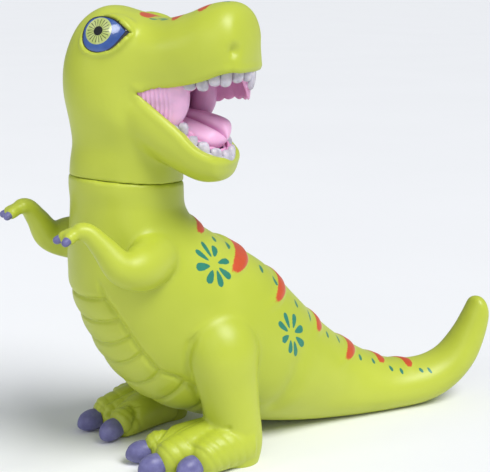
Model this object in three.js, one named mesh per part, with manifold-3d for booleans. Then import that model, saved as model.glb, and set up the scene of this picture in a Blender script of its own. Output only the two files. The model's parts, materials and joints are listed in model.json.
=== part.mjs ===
// Toy dinosaur in soft hollow vinyl: one moulded body with its legs, arms and tail, and a head that turns on its neck.
// Millimetres, +Z up. The chest faces -X, the tail runs to +X, and the figure stands on z = 0.
import * as THREE from 'three';
import { mergeVertices } from 'three/addons/utils/BufferGeometryUtils.js';
import Module from 'manifold-3d';

const wasm = await Module();
wasm.setup();

// Walls and clearances
const bodyWall = 3.2;
const headWall = 2.8;
const seatGap = 0.35;        // between a moulded piece and the pocket it sits in
const turnGap = 0.9;         // running gap round the neck plug
const seamGap = 1.2;         // visible gap between the neck rims

// Neck
const neckX = -81.5;
const neckZ = 171.5;
const neckTilt = 5;          // degrees that the neck's axis leans back towards the tail
const neckRadius = 32.5;
const rimTrim = 5.5;         // extra height at each rim before it is cut to the seam
const neckLip = 3;           // thickness of the inward lip at each neck rim
const rimDepth = 8.5;        // from the neck's outside to the hole inside its lip
const neckBore = neckRadius - rimDepth;
const plugFlange = 4;        // how far the plug's flanges reach past the bore
const plugWall = 6;          // from the bore to the plug's hollow middle
const flangeThick = 2.5;
const headTurn = -53;        // degrees from +X to where the snout points

// Body: back line, belly line, half-width and sideways lean, from the neck rim to the tail's tip
const bodyStations = [
  { back: [neckX + neckRadius, neckZ + rimTrim], belly: [neckX - neckRadius, neckZ + rimTrim], half: neckRadius, lean: 0 },
  { back: [-48, 157], belly: [-115, 151], half: 33.5, lean: 0 },
  { back: [-40, 143.5], belly: [-116.5, 129], half: 39, lean: 0 },
  { back: [-21, 130], belly: [-115, 107], half: 45, lean: 0 },
  { back: [8, 111.5], belly: [-106.5, 82], half: 49, lean: 0 },
  { back: [30.5, 89], belly: [-92, 55.5], half: 50, lean: 0 },
  { back: [50.5, 69], belly: [-69, 32.5], half: 47, lean: 0 },
  { back: [70, 53], belly: [-30, 15.5], half: 41, lean: 0 },
  { back: [90, 40], belly: [19, 3.5], half: 32, lean: -2 },
  { back: [106, 32.5], belly: [65, -1], half: 25, lean: -8 },
  { back: [120, 30.5], belly: [102, -1.2], half: 20, lean: -15 },
  { back: [133.5, 32.5], belly: [128.5, 1], half: 16.5, lean: -21 },
  { back: [145, 39], belly: [148, 8.5], half: 14, lean: -25 },
  { back: [155, 51], belly: [165, 22.5], half: 12, lean: -27 },
  { back: [162, 63], belly: [175, 42], half: 10, lean: -28 },
  { back: [169, 75], belly: [180.5, 64], half: 8, lean: -28 },
];
const bodySquareness = 2.08;
const bodySides = 22;
const bodyRings = 24;
const tailCap = 9;
const hollowTailCap = 44;

// Legs, given for the left side: the right side mirrors them
const legStations = [
  { at: [-43, -25, 88], side: 12, fore: 14 },
  { at: [-44, -36.5, 79.5], side: 19, fore: 21.5 },
  { at: [-42, -42.5, 68], side: 21.5, fore: 23 },
  { at: [-39, -44.5, 49], side: 18.5, fore: 19 },
  { at: [-36, -45.5, 30], side: 16.5, fore: 17 },
  { at: [-33.5, -46, 12], side: 15.5, fore: 16 },
  { at: [-33.5, -46, -2], side: 13, fore: 13 },
];
const toes = {
  inner: { start: [-40, -40, 13], mid: [-64, -29.5, 11], end: [-83, -22, 8.8], radii: [15, 11.4, 8.9] },
  middle: { start: [-38, -44, 15], mid: [-65, -44, 12.5], end: [-86.5, -44, 9.4], radii: [16.5, 12.8, 9.6] },
  outer: { start: [-33, -48, 14], mid: [-53, -53.5, 12.5], end: [-69.5, -57.5, 9.6], radii: [15.5, 12.8, 9.7] },
};
const clawLength = 16;
const clawSeat = 6;          // how deep a claw sits in its toe
const clawHalfWidth = 6.3;
const clawHalfHeight = 6.8;

// Arms, given for the left side
const armStations = [
  { at: [-60, -14, 122], side: 10, fore: 11 },
  { at: [-78, -32.5, 128.5], side: 13.2, fore: 14 },
  { at: [-96, -48, 128], side: 12.5, fore: 13.5 },
  { at: [-110, -51.5, 130.5], side: 9.4, fore: 9.8 },
  { at: [-119.5, -48, 142.5], side: 6.6, fore: 6.8 },
  { at: [-127, -44.5, 151], side: 5.8, fore: 5.2 },
  { at: [-135, -42.5, 151.5], side: 5.6, fore: 4.4 },
];
const fingerRoot = [-132.5, -42.5, 151.5];
const fingerTips = [[-140.5, -47.4, 147.5], [-141.5, -38.7, 147.5]];
const fingerRadius = 3.8;
const nailRadius = 2.7;
const nailLength = 6.5;

// Head, in its own frame: u runs forward from the neck axis, v sideways, w up from the neck rim
const headStations = [
  { crown: [-neckRadius, -8], under: [neckRadius, -8], half: neckRadius },
  { crown: [1.2 - neckRadius, 14], under: [neckRadius, 10], half: neckRadius - 0.8 },
  { crown: [-30.5, 32], under: [32.5, 20], half: 32 },
  { crown: [-31.3, 54], under: [32, 28], half: 33.5 },
  { crown: [-29.3, 73], under: [31, 34], half: 34 },
  { crown: [-21.5, 90.5], under: [33, 39], half: 33 },
  { crown: [-8, 99.8], under: [39, 43], half: 31.5 },
  { crown: [8, 97], under: [46, 45], half: 30 },
  { crown: [26, 93], under: [54, 46.5], half: 29.5 },
  { crown: [43, 96], under: [61, 48.5], half: 30 },
  { crown: [58, 101.5], under: [68, 51.5], half: 28.5 },
  { crown: [71, 102], under: [75, 54.5], half: 24.5 },
  { crown: [81, 94], under: [82, 59], half: 17.5 },
];
const noseCap = 5;
const jawStations = [
  { crown: [4, 62], under: [12, 16], half: 30 },
  { crown: [20, 60], under: [27, 9], half: 32 },
  { crown: [36, 54], under: [40, 4], half: 31 },
  { crown: [49, 44], under: [52, 1.5], half: 28 },
  { crown: [59.5, 33], under: [61.3, 1.8], half: 22.5 },
  { crown: [67.2, 24], under: [67.7, 5], half: 15 },
];
const jawCap = 4.5;
const headSides = 24;
const headRings = 17;
const snoutSquareness = 2.35;

// Mouth
const upperLip = [[20.5, 53.2], [35, 55], [48, 56.5], [62, 59], [75, 61.8], [92, 64]];
const lowerLip = [[20.5, 53.2], [33, 44], [46.5, 33], [55, 23.5], [63, 18], [73, 13], [92, 6]];
const toothThick = 5;
const toothFill = 0.94;      // share of its place along the lip that a tooth fills
const toothHeight = 8;
const bandThick = 1.8;        // gum wall behind the teeth
const bandHeight = 5;
const gumDepth = 4;          // how deep the strip that carries the teeth sits in the lip
const upperTeeth = 12;
const lowerTeeth = 12;
const liningWall = 1.8;
const cheekFront = 46;       // where the cheek folds end and the open mouth starts
const palateStations = [
  { u: 0, half: 14, low: 42, high: 52 },
  { u: 12, half: 23, low: 36, high: 60 },
  { u: 26, half: 26.5, low: 40, high: 63 },
  { u: 38, half: 24, low: 42, high: 65 },
  { u: 48, half: 17.2, low: 45, high: 67 },
  { u: 60, half: 16, low: 48, high: 69 },
  { u: 71, half: 10, low: 54, high: 71 },
];
const floorStations = [
  { u: 0, half: 14, low: 40, high: 50 },
  { u: 12, half: 23, low: 33, high: 58 },
  { u: 25, half: 26.5, low: 28, high: 58 },
  { u: 34, half: 23.5, low: 24, high: 52 },
  { u: 43, half: 17, low: 19, high: 44 },
  { u: 52, half: 15.2, low: 14.5, high: 38 },
  { u: 60, half: 9, low: 11.5, high: 30 },
];
const tongueStations = [     // roll, in degrees, lifts its edge on the +v side
  { at: [12, 0, 38], side: 13, rise: 4, roll: 0 },
  { at: [28, 0, 37], side: 14.5, rise: 5, roll: 6 },
  { at: [43, 0, 32.5], side: 15, rise: 6, roll: 14 },
  { at: [55, 0.5, 27.5], side: 13.8, rise: 6.5, roll: 22 },
  { at: [62, 1, 24], side: 10.5, rise: 5.5, roll: 25 },
];
const tongueDrop = 14;       // how far down the tongue's root is carried before the mouth's floor trims it
const tongueGroove = 0.45;   // depth of the groove as a share of the rise

// Eyes
const eye = { at: [3.5, 84.3], length: 26.5, height: 20, lens: 4.4, seat: 27.4, toe: 7, roll: -8, lean: 14 };
const lid = { length: 35, height: 24.6, bulge: 9.6, seat: 5 };     // the rounded swelling that the eye sits in

// Materials
const vinyl = () => new THREE.MeshStandardMaterial({ color: '#bcd246', roughness: 0.42, metalness: 0 });
const clawPaint = () => new THREE.MeshStandardMaterial({ color: '#7d78c0', roughness: 0.4, metalness: 0 });
const mouthPaint = () => new THREE.MeshStandardMaterial({ color: '#e6a9d0', roughness: 0.5, metalness: 0 });
const tonguePaint = () => new THREE.MeshStandardMaterial({ color: '#efb6da', roughness: 0.45, metalness: 0 });
const toothPaint = () => new THREE.MeshStandardMaterial({ color: '#d8d4d8', roughness: 0.4, metalness: 0 });
const eyePaint = () => new THREE.MeshStandardMaterial({ color: '#3f63b4', roughness: 0.15, metalness: 0 });
const plugPlastic = () => new THREE.MeshStandardMaterial({ color: '#c9c9c4', roughness: 0.5, metalness: 0 });

// Solids and meshes
function solid(geometry) {
  const bare = geometry.clone();
  bare.deleteAttribute('normal');
  bare.deleteAttribute('uv');
  const merged = mergeVertices(bare, 1e-4);
  const mesh = new wasm.Mesh({
    numProp: 3,
    vertProperties: new Float32Array(merged.attributes.position.array),
    triVerts: new Uint32Array(merged.index.array),
  });
  return new wasm.Manifold(mesh);
}

function geometryOf(body) {
  const mesh = body.getMesh();
  const geometry = new THREE.BufferGeometry();
  geometry.setAttribute('position', new THREE.BufferAttribute(new Float32Array(mesh.vertProperties), 3));
  geometry.setIndex(new THREE.BufferAttribute(new Uint32Array(mesh.triVerts), 1));
  geometry.computeVertexNormals();
  return geometry;
}

// A closed skin over rings of equal point counts, with a fan over each end
function skin(rings) {
  const sides = rings[0].length;
  const points = rings.flat();
  const triangles = [];
  for (let r = 0; r + 1 < rings.length; r += 1) {
    for (let s = 0; s < sides; s += 1) {
      const next = (s + 1) % sides;
      const a = r * sides + s;
      const b = r * sides + next;
      triangles.push(a, b, b + sides, a, b + sides, a + sides);
    }
  }
  const ends = [rings[0], rings[rings.length - 1]];
  ends.forEach((ring, end) => {
    const middle = ring.reduce((sum, p) => sum.clone().add(p), new THREE.Vector3()).divideScalar(sides);
    const hub = points.push(middle) - 1;
    const first = end === 0 ? 0 : (rings.length - 1) * sides;
    for (let s = 0; s < sides; s += 1) {
      const a = first + s;
      const b = first + ((s + 1) % sides);
      if (end === 0) triangles.push(hub, b, a);
      else triangles.push(hub, a, b);
    }
  });
  const geometry = new THREE.BufferGeometry();
  geometry.setAttribute('position', new THREE.Float32BufferAttribute(points.flatMap((p) => p.toArray()), 3));
  geometry.setIndex(triangles);
  return volumeOf(geometry) < 0 ? turnedOut(geometry) : geometry;
}

function volumeOf(geometry) {
  const p = geometry.attributes.position;
  const index = geometry.index.array;
  const [a, b, c] = [new THREE.Vector3(), new THREE.Vector3(), new THREE.Vector3()];
  let volume = 0;
  for (let i = 0; i < index.length; i += 3) {
    a.fromBufferAttribute(p, index[i]);
    b.fromBufferAttribute(p, index[i + 1]);
    c.fromBufferAttribute(p, index[i + 2]);
    volume += a.dot(b.cross(c)) / 6;
  }
  return volume;
}

function turnedOut(geometry) {
  const index = Array.from(geometry.index.array);
  for (let i = 0; i < index.length; i += 3) {
    [index[i], index[i + 1]] = [index[i + 1], index[i]];
  }
  geometry.setIndex(index);
  return geometry;
}

// Point on a rounded section: squareness 2 is an ellipse, more is boxier
function sectionPoint(angle, squareness) {
  const power = 2 / squareness;
  const c = Math.cos(angle);
  const s = Math.sin(angle);
  return [Math.sign(c) * Math.abs(c) ** power, Math.sign(s) * Math.abs(s) ** power];
}

// Ring parameters: even steps along the curve, then the steps of a rounded end of the given length
function ringSteps(curve, count, endCap, startCap, capRings) {
  const length = curve.getLength();
  const steps = [];
  const capAngles = Array.from({ length: capRings }, (_, i) => (Math.PI / 2) * ((i + 1) / (capRings + 0.6)));
  if (startCap > 0) {
    [...capAngles].reverse().forEach((a) => steps.push({ s: startCap * (1 - Math.sin(a)), scale: Math.cos(a) }));
  }
  for (let i = 0; i <= count; i += 1) {
    steps.push({ s: startCap + ((length - startCap - endCap) * i) / count, scale: 1 });
  }
  if (endCap > 0) {
    capAngles.forEach((a) => steps.push({ s: length - endCap * (1 - Math.sin(a)), scale: Math.cos(a) }));
  }
  const inRange = (t) => Math.min(Math.max(t, 0), 1);
  return steps.map(({ s, scale }) => ({ t: inRange(curve.getUtoTmapping(inRange(s / length))), scale }));
}

const spline = (points) => new THREE.CatmullRomCurve3(points, false, 'catmullrom', 0.5);

// A form between an upper and a lower line in the X-Z plane, each ring standing across the two
function profileForm(upper, lower, halves, options) {
  const { sides, rings, endCap = 0, startCap = 0, capRings = 3, inset = 0, squareness = 2, leans } = options;
  const top = spline(upper.map(([x, z], i) => new THREE.Vector3(x, halves[i], z)));
  const bottom = spline(lower.map(([x, z], i) => new THREE.Vector3(x, leans ? leans[i] : 0, z)));
  const middle = spline(upper.map(([x, z], i) => new THREE.Vector3((x + lower[i][0]) / 2, 0, (z + lower[i][1]) / 2)));
  const steps = ringSteps(middle, rings, endCap, startCap, capRings);
  const loops = steps.map(({ t, scale }) => {
    const a = top.getPoint(t);
    const b = bottom.getPoint(t);
    const half = (a.y - inset) * scale;
    a.y = b.y;
    const centre = a.clone().add(b).multiplyScalar(0.5);
    const reach = a.clone().sub(b).multiplyScalar(0.5);
    const tall = (reach.length() - inset) * scale;
    reach.normalize();
    return Array.from({ length: sides }, (_, i) => {
      const [c, s] = sectionPoint((2 * Math.PI * i) / sides, squareness);
      return centre.clone().addScaledVector(reach, tall * c).add(new THREE.Vector3(0, half * s, 0));
    });
  });
  return solid(skin(loops));
}

// A limb: oval rings square to a path, with the fore half-width in the X-Z plane
function limbForm(stations, options = {}) {
  const { sides = 16, rings = 8, endCap = 0, startCap = 0, capRings = 3, inset = 0 } = options;
  const path = spline(stations.map(({ at }) => new THREE.Vector3(...at)));
  const size = spline(stations.map(({ side, fore }) => new THREE.Vector3(side, fore, 0)));
  const across = new THREE.Vector3(0, 1, 0);
  const steps = ringSteps(path, rings, endCap, startCap, capRings);
  return solid(skin(steps.map(({ t, scale }) => {
    const centre = path.getPoint(t);
    const tangent = path.getTangent(t);
    const widths = size.getPoint(t);
    const foreAxis = across.clone().cross(tangent).normalize();
    const sideAxis = tangent.clone().cross(foreAxis).normalize();
    return Array.from({ length: sides }, (_, i) => {
      const angle = (2 * Math.PI * i) / sides;
      return centre.clone()
        .addScaledVector(sideAxis, (widths.x - inset) * scale * Math.cos(angle))
        .addScaledVector(foreAxis, (widths.y - inset) * scale * Math.sin(angle));
    });
  })));
}

// A turned form about +Z from [radius, height] pairs that start and end on the axis
function turned(profile, sides) {
  const geometry = new THREE.LatheGeometry(profile.map(([r, z]) => new THREE.Vector2(r, z)), sides);
  geometry.rotateX(Math.PI / 2);
  return solid(volumeOf(mergedCopy(geometry)) < 0 ? turnedOut(mergedCopy(geometry)) : mergedCopy(geometry));
}

function mergedCopy(geometry) {
  const copy = geometry.clone();
  copy.deleteAttribute('normal');
  copy.deleteAttribute('uv');
  return mergeVertices(copy, 1e-4);
}

function block(low, high) {
  const size = high.map((h, i) => h - low[i]);
  const geometry = new THREE.BoxGeometry(...size);
  geometry.translate(...high.map((h, i) => (h + low[i]) / 2));
  return solid(geometry);
}

function ball(radii, at, sides = 16) {
  const geometry = new THREE.SphereGeometry(1, sides, Math.round(sides * 0.6));
  geometry.scale(...radii);
  geometry.translate(...at);
  return solid(geometry);
}

const mirrored = (body) => body.mirror([0, 1, 0]);
const joined = (bodies) => bodies.reduce((sum, body) => sum.add(body));
const belowGround = block([-300, -200, -60], [300, 200, 0]);

// Toes and claws
function toeForm(toe) {
  const [a, b, c] = toe.radii;
  const stations = [
    { at: toe.start, side: a, fore: a },
    { at: toe.mid, side: b, fore: b },
    { at: toe.end, side: c * 0.96, fore: c },
  ];
  return limbForm(stations, { sides: 10, rings: 3, endCap: c * 0.75, capRings: 2 });
}

function toeDirection(toe) {
  return new THREE.Vector3(...toe.end).sub(new THREE.Vector3(...toe.mid)).setZ(0).normalize();
}

// A blunt claw: a tapered round-nosed form whose root sits in the toe
function clawForm(toe, grow) {
  const direction = toeDirection(toe);
  const root = new THREE.Vector3(...toe.end).addScaledVector(direction, -clawSeat + 2 - grow);
  root.z = clawHalfHeight + 1.2;
  const nose = root.clone().addScaledVector(direction, clawLength + 2 * grow);
  nose.z = clawHalfHeight * 0.68;
  const middle = root.clone().lerp(nose, 0.5).setZ(clawHalfHeight + 0.4);
  const station = (p, share) => ({
    at: p.toArray(),
    side: clawHalfWidth * share + grow,
    fore: clawHalfHeight * share + grow,
  });
  const claw = limbForm(
    [station(root, 0.94), station(middle, 1), station(nose, 0.62)],
    { sides: 10, rings: 2, endCap: clawHalfWidth * 0.95, capRings: 3 },
  );
  return grow > 0 ? claw : claw.subtract(belowGround.translate([0, 0, 0.4]));
}

// Fingers and nails
function fingerForm(tip) {
  const r = fingerRadius;
  return limbForm(
    [{ at: fingerRoot, side: r, fore: r }, { at: tip, side: r * 0.95, fore: r * 0.95 }],
    { sides: 8, rings: 1, endCap: r * 0.8, startCap: r * 0.8, capRings: 2 },
  );
}

function nailForm(tip, grow) {
  const end = new THREE.Vector3(...tip);
  const direction = end.clone().sub(new THREE.Vector3(...fingerRoot)).normalize();
  const root = end.clone().addScaledVector(direction, -nailLength * 0.55 - grow);
  const nose = end.clone().addScaledVector(direction, nailLength * 0.45 + grow);
  const r = nailRadius + grow;
  return limbForm(
    [{ at: root.toArray(), side: r, fore: r }, { at: nose.toArray(), side: r * 0.75, fore: r * 0.75 }],
    { sides: 8, rings: 1, endCap: r * 0.8, capRings: 2 },
  );
}

// Forms made about the neck's axis, set in the body's frame or in the turned head's frame
const atNeck = (body) => body.rotate([0, neckTilt, 0]).translate([neckX, 0, neckZ]);
const inHead = (body) => body.rotate([0, neckTilt, -headTurn]);

// Body shell
function bodyForm(inset, sides, rings) {
  const upper = bodyStations.map(({ back }) => back);
  const lower = bodyStations.map(({ belly }) => belly);
  const halves = bodyStations.map(({ half }) => half);
  return profileForm(upper, lower, halves, {
    sides, rings, inset, endCap: inset > 0 ? hollowTailCap : tailCap, squareness: bodySquareness, leans: bodyStations.map(({ lean }) => lean),
  });
}

function bothSides(form) {
  return form.add(mirrored(form));
}

const leftClaws = Object.fromEntries(Object.entries(toes).map(([name, toe]) => [name, clawForm(toe, 0)]));
const leftClawPockets = joined(Object.values(toes).map((toe) => clawForm(toe, seatGap)));
const leftNails = fingerTips.map((tip) => nailForm(tip, 0));
const leftNailPockets = joined(fingerTips.map((tip) => nailForm(tip, seatGap)));

function bodyShell() {
  const leg = limbForm(legStations, { sides: 14, rings: 8, startCap: 9, capRings: 2 });
  const arm = limbForm(armStations, { sides: 10, rings: 9, endCap: 3.5, capRings: 2 });
  const left = joined([leg, arm, ...Object.values(toes).map(toeForm), ...fingerTips.map(fingerForm)]);
  const outside = bodyForm(0, bodySides, bodyRings).add(bothSides(left));
  const legHollow = limbForm(legStations.slice(0, 5), { sides: 10, rings: 4, startCap: 9, capRings: 1, inset: bodyWall });
  const aboveLip = atNeck(block([-200, -100, -seamGap / 2 - neckLip], [200, 100, 40]));
  const mouthOfNeck = atNeck(turned([[0, -20], [neckBore, -20], [neckBore, 10], [0, 10]], 24));
  const hollow = bodyForm(bodyWall, 14, 13).add(bothSides(legHollow)).subtract(aboveLip).add(mouthOfNeck);
  const aboveRim = atNeck(block([-200, -100, -seamGap / 2], [200, 100, 60]));
  return outside
    .subtract(hollow)
    .subtract(aboveRim)
    .subtract(bothSides(leftClawPockets))
    .subtract(bothSides(leftNailPockets))
    .subtract(belowGround);
}

// Head
function headForm(inset, sideCount, rings) {
  const upper = headStations.map(({ crown }) => crown);
  const lower = headStations.map(({ under }) => under);
  const halves = headStations.map(({ half }) => half);
  const options = { sides: sideCount, rings, inset, squareness: snoutSquareness, endCap: inset > 0 ? 12 : noseCap };
  return profileForm(upper, lower, halves, options);
}

function jawForm() {
  const upper = jawStations.map(({ crown }) => crown);
  const lower = jawStations.map(({ under }) => under);
  const halves = jawStations.map(({ half }) => half);
  return profileForm(upper, lower, halves, { sides: 20, rings: 6, endCap: jawCap, squareness: 2.3 });
}

// The open gap between the lips, cut across the whole head
function gapeForm(from, grow) {
  const line = (points) => spline(points.map(([u, w]) => new THREE.Vector3(u, 0, w))).getPoints(14);
  const upper = line(upperLip).filter((p) => p.x >= from);
  const lower = line(lowerLip).filter((p) => p.x >= from).reverse();
  const shape = new THREE.Shape([
    ...upper.map((p) => new THREE.Vector2(p.x, p.z + grow)),
    ...lower.map((p) => new THREE.Vector2(p.x, p.z - grow)),
  ]);
  const width = 120;
  const geometry = new THREE.ExtrudeGeometry(shape, { depth: width, bevelEnabled: false });
  geometry.rotateX(Math.PI / 2);
  geometry.translate(0, width / 2, 0);
  return solid(geometry);
}

// A pocket made of rounded sections that stand across u
function pocketForm(stations, grow) {
  const last = stations.length - 1;
  const along = ({ u }, i) => u + (i === last ? grow : 0) - (i === 0 ? grow : 0);
  const upper = stations.map((station, i) => [along(station, i), station.high + grow]);
  const lower = stations.map((station, i) => [along(station, i), station.low - grow]);
  const halves = stations.map(({ half }) => half + grow);
  return profileForm(upper, lower, halves, {
    sides: 10, rings: 7, endCap: 6, startCap: 6, capRings: 1, squareness: 2.8,
  });
}

const mouthForm = (grow) => pocketForm(palateStations, grow).add(pocketForm(floorStations, grow));

const lipAt = (points, u) => {
  const i = Math.min(points.findIndex(([x]) => x > u), points.length - 1);
  const [x0, w0] = points[i - 1];
  const [x1, w1] = points[i];
  return w0 + ((w1 - w0) * (u - x0)) / (x1 - x0);
};

// The teeth stand along a U that follows the lip, a lip's width inside it
function toothLine(halfWidth, back, front, lip, lift) {
  const bend = front - halfWidth * 0.95;
  const count = 8;
  const points = [];
  const straight = 3;
  for (let i = 0; i < straight; i += 1) {
    const share = i / straight;
    points.push([back + (bend - back) * share, -halfWidth * (1 + 0.06 * (1 - share))]);
  }
  for (let i = 0; i <= count; i += 1) {
    const angle = -Math.PI / 2 + (Math.PI * i) / count;
    points.push([bend + (front - bend) * Math.cos(angle), halfWidth * Math.sin(angle)]);
  }
  for (let i = straight - 1; i >= 0; i -= 1) {
    const share = i / straight;
    points.push([back + (bend - back) * share, halfWidth * (1 + 0.06 * (1 - share))]);
  }
  return new THREE.CatmullRomCurve3(points.map(([u, v]) => new THREE.Vector3(u, v, lipAt(lip, u) + lift)));
}

// The strip that carries the teeth; a slot for it is open downwards (-1) or upwards (1) through the lip
function gumForm(line, grow, open = 0) {
  const half = toothThick / 2 + grow;
  const tall = gumDepth / 2 + grow;
  const steps = 24;
  const rings = [];
  for (let i = 0; i <= steps; i += 1) {
    const t = i / steps;
    const centre = line.getPointAt(t);
    const along = line.getTangentAt(t).setZ(0).normalize();
    if (i === 0) centre.addScaledVector(along, -grow);
    if (i === steps) centre.addScaledVector(along, grow);
    const out = new THREE.Vector3(along.y, -along.x, 0);
    const low = -tall - (open < 0 ? toothThick : 0);
    const high = tall + (open > 0 ? toothThick : 0);
    const corners = [[-half, low], [half, low], [half, high], [-half, high]];
    rings.push(corners.map(([a, b]) => centre.clone().addScaledVector(out, a).add(new THREE.Vector3(0, 0, b))));
  }
  return solid(skin(rings));
}

// One tooth: a blunt tapered peg, its root inside the strip
function toothForm(line, share, place, down, size) {
  const root = line.getPointAt(share);
  const before = line.getPointAt(share - place / 2).setZ(0);
  const after = line.getPointAt(share + place / 2).setZ(0);
  const half = (toothFill * before.distanceTo(after)) / 2;
  const tip = root.clone().add(new THREE.Vector3(0, 0, down * toothHeight * size));
  const along = line.getTangentAt(share).setZ(0).normalize();
  const out = new THREE.Vector3(along.y, -along.x, 0);
  const count = 6;
  const levels = [[0, 0.95], [0.7, 0.95], [1, 0.5]];
  return solid(skin(levels.map(([rise, width]) => {
    const centre = root.clone().lerp(tip, rise);
    return Array.from({ length: count }, (_, i) => {
      const [c, d] = sectionPoint((2 * Math.PI * (i + 0.5)) / count, 2.4);
      return centre.clone()
        .addScaledVector(along, half * width * c)
        .addScaledVector(out, (toothThick / 2) * width * d);
    });
  })));
}

// The low wall of gum behind the teeth, inside their thickness
function gumBand(line, up) {
  const steps = 14;
  const inner = -toothThick / 2 + 0.3;
  const rings = [];
  for (let i = 0; i <= steps; i += 1) {
    const t = 0.01 + (0.98 * i) / steps;
    const centre = line.getPointAt(t);
    const along = line.getTangentAt(t).setZ(0).normalize();
    const out = new THREE.Vector3(along.y, -along.x, 0);
    const corners = [[inner, 0], [inner + bandThick, 0], [inner + bandThick, up * bandHeight], [inner, up * bandHeight]];
    rings.push(corners.map(([a, b]) => centre.clone().addScaledVector(out, a).add(new THREE.Vector3(0, 0, b))));
  }
  return solid(skin(rings));
}

function teethForm(line, count, up) {
  const teeth = [];
  for (let i = 0; i < count; i += 1) {
    const size = 0.92 + 0.1 * Math.sin(i * 2.4);
    teeth.push(toothForm(line, (i + 0.5) / count, 1 / count, up, size));
  }
  return joined([gumForm(line, 0), gumBand(line, up), ...teeth]);
}

const upperLine = toothLine(21, 48, 78, upperLip, gumDepth / 2 + 0.4);
const lowerLine = toothLine(19.6, 45, 64.9, lowerLip, -gumDepth / 2 - 0.4);

// Sets a form made about the eye's own axis, +Z outward, on the head's right side
const atEye = (body) => body
  .rotate([90 - eye.lean, 0, 0])
  .rotate([0, eye.roll, -eye.toe])
  .translate([eye.at[0], -eye.seat, eye.at[1]]);

function eyeForm(grow) {
  const half = eye.length / 2 + grow;
  const tall = eye.height / 2 + grow;
  const outline = new THREE.Shape();
  outline.moveTo(half, -tall * 0.05);
  outline.bezierCurveTo(half * 0.6, tall * 0.75, half * 0.1, tall, -half * 0.35, tall);
  outline.bezierCurveTo(-half * 0.8, tall, -half, tall * 0.45, -half, -tall * 0.1);
  outline.bezierCurveTo(-half, -tall * 0.7, -half * 0.6, -tall, -half * 0.1, -tall);
  outline.bezierCurveTo(half * 0.4, -tall, half * 0.75, -tall * 0.45, half, -tall * 0.05);
  const depth = 30;
  const prism = new THREE.ExtrudeGeometry(outline, { depth, bevelEnabled: false, curveSegments: 4 });
  prism.translate(0, 0, -depth / 2);
  const lens = ball([half * 1.32, tall * 1.42, eye.lens + grow], [0, 0, 0], 14);
  return atEye(solid(prism).intersect(lens));
}

// The pink skin of the mouth: palate, cheeks, throat and floor, open to the gape
function liningForm(gums) {
  return mouthForm(0)
    .subtract(mouthForm(-liningWall))
    .subtract(gapeForm(cheekFront, 0))
    .subtract(gums);
}

// A broad tongue with a groove down its middle
function tongueForm() {
  const sidesOfRing = 14;
  const grooveWidth = 0.3;
  const path = spline(tongueStations.map(({ at }) => new THREE.Vector3(...at)));
  const size = spline(tongueStations.map(({ side, rise }) => new THREE.Vector3(side, rise, 0)));
  const rolls = spline(tongueStations.map(({ roll }) => new THREE.Vector3(roll, 0, 0)));
  const steps = ringSteps(path, 5, 7, 3, 2);
  const blade = solid(skin(steps.map(({ t, scale }) => {
    const centre = path.getPoint(t);
    const tangent = path.getTangent(t);
    const { x: half, y: rise } = size.getPoint(t);
    const roll = THREE.MathUtils.degToRad(rolls.getPoint(t).x);
    const across = new THREE.Vector3(0, 1, 0).applyAxisAngle(tangent, roll);
    const up = tangent.clone().cross(across).normalize();
    return Array.from({ length: sidesOfRing }, (_, i) => {
      const angle = (2 * Math.PI * i) / sidesOfRing;
      const dip = 1 - tongueGroove * Math.exp(-((Math.cos(angle) / grooveWidth) ** 2));
      const reach = Math.sin(angle) > 0 ? rise * dip : tongueDrop;
      return centre.clone()
        .addScaledVector(across, half * scale * Math.cos(angle))
        .addScaledVector(up, reach * scale * Math.sin(angle));
    });
  })));
  const room = mouthForm(-liningWall - seatGap).add(gapeForm(cheekFront + 6, -seatGap));
  return blade.intersect(room);
}

// The hard ring that joins the two rims: its upper flange sits in the head, its lower one turns in the body
function neckPlug() {
  const inner = neckBore - plugWall;
  const lowPost = neckBore - turnGap;
  const flange = neckBore + plugFlange;
  const lowTop = -seamGap / 2 - neckLip - turnGap;
  const highBase = seamGap / 2 + neckLip + seatGap;
  const foot = lowTop - flangeThick;
  const closed = [
    [inner, foot - flangeThick], [lowPost, foot - flangeThick], [flange, foot], [flange, lowTop],
    [lowPost, lowTop], [lowPost, highBase], [flange, highBase], [flange, highBase + flangeThick],
    [inner, highBase + flangeThick], [inner, foot - flangeThick],
  ];
  return inHead(turned(closed, 20));
}

function headShell(eyes, gums) {
  const swelling = atEye(ball([lid.length / 2, lid.height / 2, lid.bulge], [0, 0, -lid.seat], 10));
  const outside = headForm(0, headSides, headRings).add(jawForm()).add(bothSides(swelling));
  const rimZ = seamGap / 2;
  const lipTop = rimZ + neckLip;
  const belowLip = inHead(block([-100, -100, -40], [100, 100, lipTop]));
  const boreRadius = neckBore - turnGap + seatGap;
  const bore = inHead(turned([[0, -20], [boreRadius, -20], [boreRadius, 20], [0, 20]], 24));
  const mouthWall = mouthForm(headWall);
  const eyeBoss = ball([eye.length * 0.62, eye.lens + 3 * headWall, eye.height * 0.68], [eye.at[0], -eye.seat, eye.at[1]], 8);
  const hollow = headForm(headWall, 12, 8)
    .subtract(mouthWall)
    .subtract(gapeForm(-50, 2 * headWall))
    .subtract(bothSides(eyeBoss))
    .subtract(belowLip);
  const below = inHead(block([-100, -100, -40], [100, 100, rimZ]));
  return outside
    .subtract(gapeForm(-50, 0))
    .subtract(mouthForm(seatGap))
    .subtract(hollow)
    .subtract(bore)
    .subtract(gums)
    .subtract(joined(eyes))
    .subtract(below);
}

// Assembly
const figure = new THREE.Group();
const head = new THREE.Group();
head.position.set(neckX, 0, neckZ);
head.rotation.z = THREE.MathUtils.degToRad(headTurn);
figure.add(head);

function place(group, name, body, material) {
  const mesh = new THREE.Mesh(geometryOf(body), material);
  mesh.name = name;
  group.add(mesh);
}

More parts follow.
